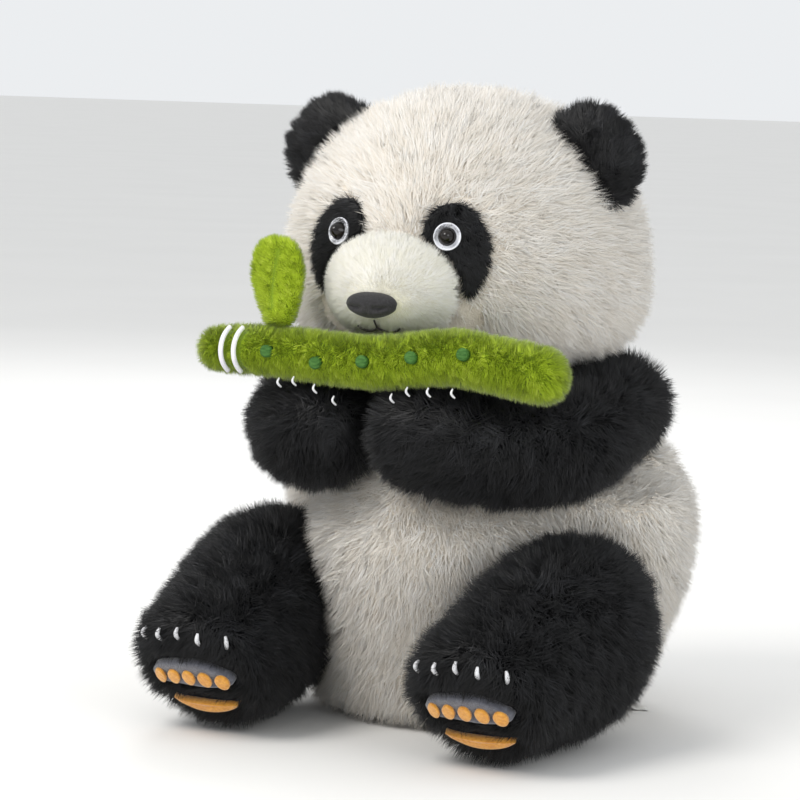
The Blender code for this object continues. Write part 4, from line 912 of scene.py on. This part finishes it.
# ---------------------------------------------------------------- paws
PAW_CLAWS = {
    "right": [(-0.0500, 0.2125), (-0.0400, 0.2140), (-0.0260, 0.2105), (-0.0130, 0.2045)],
    "left": [(0.0250, 0.2085), (0.0350, 0.2130), (0.0485, 0.2135), (0.0640, 0.2140)],
}
for side, places in PAW_CLAWS.items():
    for k, (x, z) in enumerate(places, 1):
        arm = f"arm_{side}"
        place, normal = skins[arm].hit((x, -0.35, z), (0, 1, 0))
        if place is None:
            near_place, near_normal, _, _ = skins[arm].tree.find_nearest(Vector((x, BAMBOO_FRONT, z)))
            place, normal = np.array(near_place), np.array(near_normal)
        front = np.array([x, min(place[1], BAMBOO_FRONT + 0.010), z])
        along = unit_rows(np.array([[-0.25, -0.10, 1.0]]))[0]
        start, out = front + np.array([0, -0.0075, -0.0030]), np.array([-0.35, -0.94, 0.0])
        claw(f"paw_claw_{side}_{k}", start, out, along, CLAW_THREAD, arm, [f"claw_paw_{side}_{k}"],
             length=0.0055, radius=0.00062)


# ---------------------------------------------------------------- care label
def make_label():
    """A folded cloth label that lies on the floor behind the left hip."""
    low, high = low_of("care_label"), high_of("care_label")
    width, length = 0.014, 0.018
    turn = math.radians(32.0)
    out = np.array([math.cos(turn), math.sin(turn), 0.0])
    side = np.array([-out[1], out[0], 0.0])
    middle = (low + high) / 2
    start = np.array([middle[0], middle[1], 0.0]) - out * length * 0.46
    rows, columns = 18, 10
    points, faces = [], []
    for k in range(rows + 1):
        share = k / rows
        height = 0.0036 * (1 - share) ** 1.8 + 0.0007 + 0.0006 * math.sin(share * 9.0)
        for j in range(columns + 1):
            across = (j / columns - 0.5) * width
            curl = 0.0005 * math.cos(j / columns * 5.0 + share * 3.0)
            flat = start + out * (length * 0.985 * share) + side * across
            points.append(flat + np.array([0, 0, height + curl]))
    for k in range(rows):
        for j in range(columns):
            a = k * (columns + 1) + j
            faces.append((a, a + 1, a + columns + 2, a + columns + 1))
    made = new_object("care_tag", points, faces, LABEL_CLOTH)
    attach(made, "torso", ["care_label"])


LABEL_CLOTH = new_material("label_cloth", (0.80, 0.79, 0.76), 0.8, sheen=0.2)
mottled(LABEL_CLOTH, (0.72, 0.71, 0.68), (0.86, 0.85, 0.82), 700.0, bump=0.4, bump_scale=3000.0)
make_label()


# ---------------------------------------------------------------- pile on every skin
def head_flow(points, normals):
    """The head's pile lies away from the face, and a little down."""
    flow = points - (FACE + np.array([0, 0.02, 0.02]))
    return unit_rows(flow) + np.array([0.0, 0.0, -0.45])


def down_flow(points, normals):
    return np.tile([0.0, 0.0, -1.0], (len(points), 1))


def limb_flow(direction):
    aim = np.asarray(direction, float)

    def flow(points, normals):
        return np.tile(aim, (len(points), 1))

    return flow


def muzzle_flow(points, normals):
    flow = points - (FACE + np.array([0.0, -0.01, -0.004]))
    return unit_rows(flow) + np.array([0.0, 0.4, 0.0])


def patch_flow(points, normals):
    """The eye patches' pile lies down and outwards."""
    return np.tile([0.0, 0.2, -1.0], (len(points), 1)) + np.sign(points[:, :1]) * np.array([[0.5, 0.0, 0.0]])


LONG_WHITE = dict(clump=0.0075, pull=0.42, rough=0.32, width=0.00060)
LONG_BLACK = dict(lean=0.8, clump=0.0080, pull=0.45, rough=0.36, width=0.00062)
LIMBS = ["arm_left", "arm_right", "leg_left", "leg_right"]

pile("head", "head", 132000, WHITE_PILE, WHITE_TONES, 3, comb=head_flow, lean=0.75, **LONG_WHITE,
     scale=product(near(["patch_left", "patch_right"], 0.0012, 0.0075, 0.35),
                   near(["muzzle"], 0.0008, 0.012, 0.30),
                   near(["ear_left", "ear_right", "shoulders", "body"], 0.0005, 0.006, 0.4)))
pile("body", "body", 132000, WHITE_PILE, WHITE_TONES, 3, comb=down_flow, lean=0.9, **LONG_WHITE,
     scale=near([*LIMBS, "shoulders", "head", "tail"], 0.0005, 0.007, 0.35))
pile("muzzle", "muzzle", 40000, MUZZLE_PILE, IVORY_TONES, comb=muzzle_flow, lean=0.8, clump=0.0030,
     pull=0.20, rough=0.16, width=0.00040, scale=product(clear_of(nose_marks, 0.0075, 0.0140, 0.35),
                                             clear_of(mouth_marks, 0.0006, 0.0040, 0.35)))
for side, sign in (("left", 1), ("right", -1)):
    pile(f"patch_{side}", f"patch_{side}", 9000, SHORT_PILE, BLACK_TONES, comb=patch_flow, lean=0.9,
         clump=0.0040, pull=0.30, rough=0.25, width=0.00045,
         scale=clear_of([eyes[side][0]], eyes[side][2] * 1.02, eyes[side][2] * 1.7, 0.45))
    pile(f"ear_{side}", f"ear_{side}", 20000, SHORT_PILE * 1.5, BLACK_TONES,
         comb=limb_flow((sign * 0.6, 0.3, 0.6)), lean=0.8, clump=0.0060, pull=0.45, rough=0.40, width=0.00055)
    pile(f"leg_{side}", f"leg_{side}", 80000, BLACK_PILE, BLACK_TONES, 2,
         comb=limb_flow((0.0, -0.8, -0.6)), **LONG_BLACK,
         scale=product(clear_of([m for m in sole_marks if m[0] * sign > 0], 0.0036, 0.0100, 0.22),
                       near(["body"], 0.0005, 0.006, 0.4)))
    pile(f"arm_{side}", f"arm_{side}", 64000, BLACK_PILE, BLACK_TONES, 2,
         comb=limb_flow((-0.35 * sign, -0.75, -0.5)), **LONG_BLACK,
         scale=near(["bamboo", "head", "muzzle"], 0.0005, 0.010, 0.35))
pile("shoulders", "shoulders", 24000, BLACK_PILE, BLACK_TONES, comb=down_flow, lean=0.9, clump=0.0080,
     pull=0.4, scale=near(["head", "arm_left", "arm_right"], 0.0004, 0.006, 0.4))
pile("tail", "tail", 7000, WHITE_PILE * 0.9, WHITE_TONES, comb=down_flow, lean=0.7)
GREEN_PILE = 0.0048
GREEN_SHORT = dict(lean=0.60, clump=0.0034, pull=0.22, rough=0.24, width=0.00044)


def in_a_dot(points, normals):
    """Which roots lie under one of the stitched dots."""
    away = np.min([np.linalg.norm(points - dot, axis=1) for dot in dots], axis=0)
    return away < DOT_HALF


pile("bamboo", "bamboo", 66000, GREEN_PILE, GREEN_TONES, comb=limb_flow((0.8, -0.2, -0.6)),
     keep=lambda points, normals: ~in_a_dot(points, normals),
     scale=product(clear_of(stripes, 0.0040, 0.0075, 0.5),
                   near(["arm_left", "arm_right", "muzzle"], 0.0003, 0.004, 0.4)),
     **GREEN_SHORT)
leaf_low, leaf_high = low_of("bamboo_leaf"), high_of("bamboo_leaf")
crease = [
    place
    for z in np.linspace(leaf_low[2] + 0.010, leaf_high[2] - 0.008, 26)
    for place, _ in [skins["leaf"].face_hit((leaf_low[0] + leaf_high[0]) / 2 + 0.0015 * math.sin(z * 90), z)]
    if place is not None
]
pile("leaf", "leaf", 20000, GREEN_PILE * 0.75, GREEN_TONES, comb=limb_flow((-0.1, 0.0, 1.0)),
     scale=clear_of(crease, 0.0009, 0.0040, 0.30), **GREEN_SHORT)


# ---------------------------------------------------------------- stage, lights, camera
def make_stage():
    half = 30.0
    finish = new_material("floor_pale", (0.82, 0.81, 0.79), 0.9)
    mottled(finish, (0.81, 0.80, 0.78), (0.83, 0.82, 0.80), 3.0)
    corners = [(-half, -half, 0), (half, -half, 0), (half, half, 0), (-half, half, 0)]
    floor = new_object("floor", corners, [(0, 1, 2, 3)], finish, smooth=False)


def add_light(name, place, aim, size, power, colour=(1, 1, 1)):
    data = bpy.data.lights.new(name, "AREA")
    data.shape = "DISK"
    data.size = size
    data.energy = power
    data.color = colour
    made = bpy.data.objects.new(name, data)
    SCENE.collection.objects.link(made)
    made.location = place
    made.rotation_euler = (Vector(aim) - Vector(place)).to_track_quat("-Z", "Y").to_euler()


def make_lights():
    aim = (0.0, 0.0, 0.2)
    add_light("key", (-0.7, -1.5, 1.9), aim, 1.2, 32, (1.0, 0.98, 0.95))
    add_light("fill", (1.9, -1.1, 0.9), aim, 1.4, 12, (0.95, 0.98, 1.0))
    add_light("back", (-1.1, 1.6, 1.5), aim, 1.0, 12, (1.0, 1.0, 1.0))
    world = bpy.data.worlds.new("studio")
    world.use_nodes = True
    world.node_tree.nodes["Background"].inputs["Color"].default_value = (0.93, 0.95, 0.97, 1)
    world.node_tree.nodes["Background"].inputs["Strength"].default_value = 0.90
    SCENE.world = world
    SCENE.view_settings.view_transform = "Standard"


def make_camera():
    azimuth, elevation, roll = (math.radians(a) for a in (CAMERA_AZIMUTH, CAMERA_ELEVATION, CAMERA_ROLL))
    level = Vector((math.sin(azimuth), -math.cos(azimuth), 0.0))
    out = level * math.cos(elevation) + Vector((0.0, 0.0, math.sin(elevation)))
    right = Vector((math.cos(azimuth), math.sin(azimuth), 0.0))
    up = out.cross(right)
    right, up = right * math.cos(roll) + up * math.sin(roll), up * math.cos(roll) - right * math.sin(roll)
    data = bpy.data.cameras.new("camera")
    data.lens = CAMERA_LENS
    data.sensor_width = SENSOR
    made = bpy.data.objects.new("camera", data)
    SCENE.collection.objects.link(made)
    turn = Matrix((right, up, out)).transposed().to_4x4()
    made.matrix_world = Matrix.Translation(Vector(CAMERA_TARGET) + out * CAMERA_DISTANCE) @ turn
    SCENE.camera = made


make_stage()
make_lights()
make_camera()
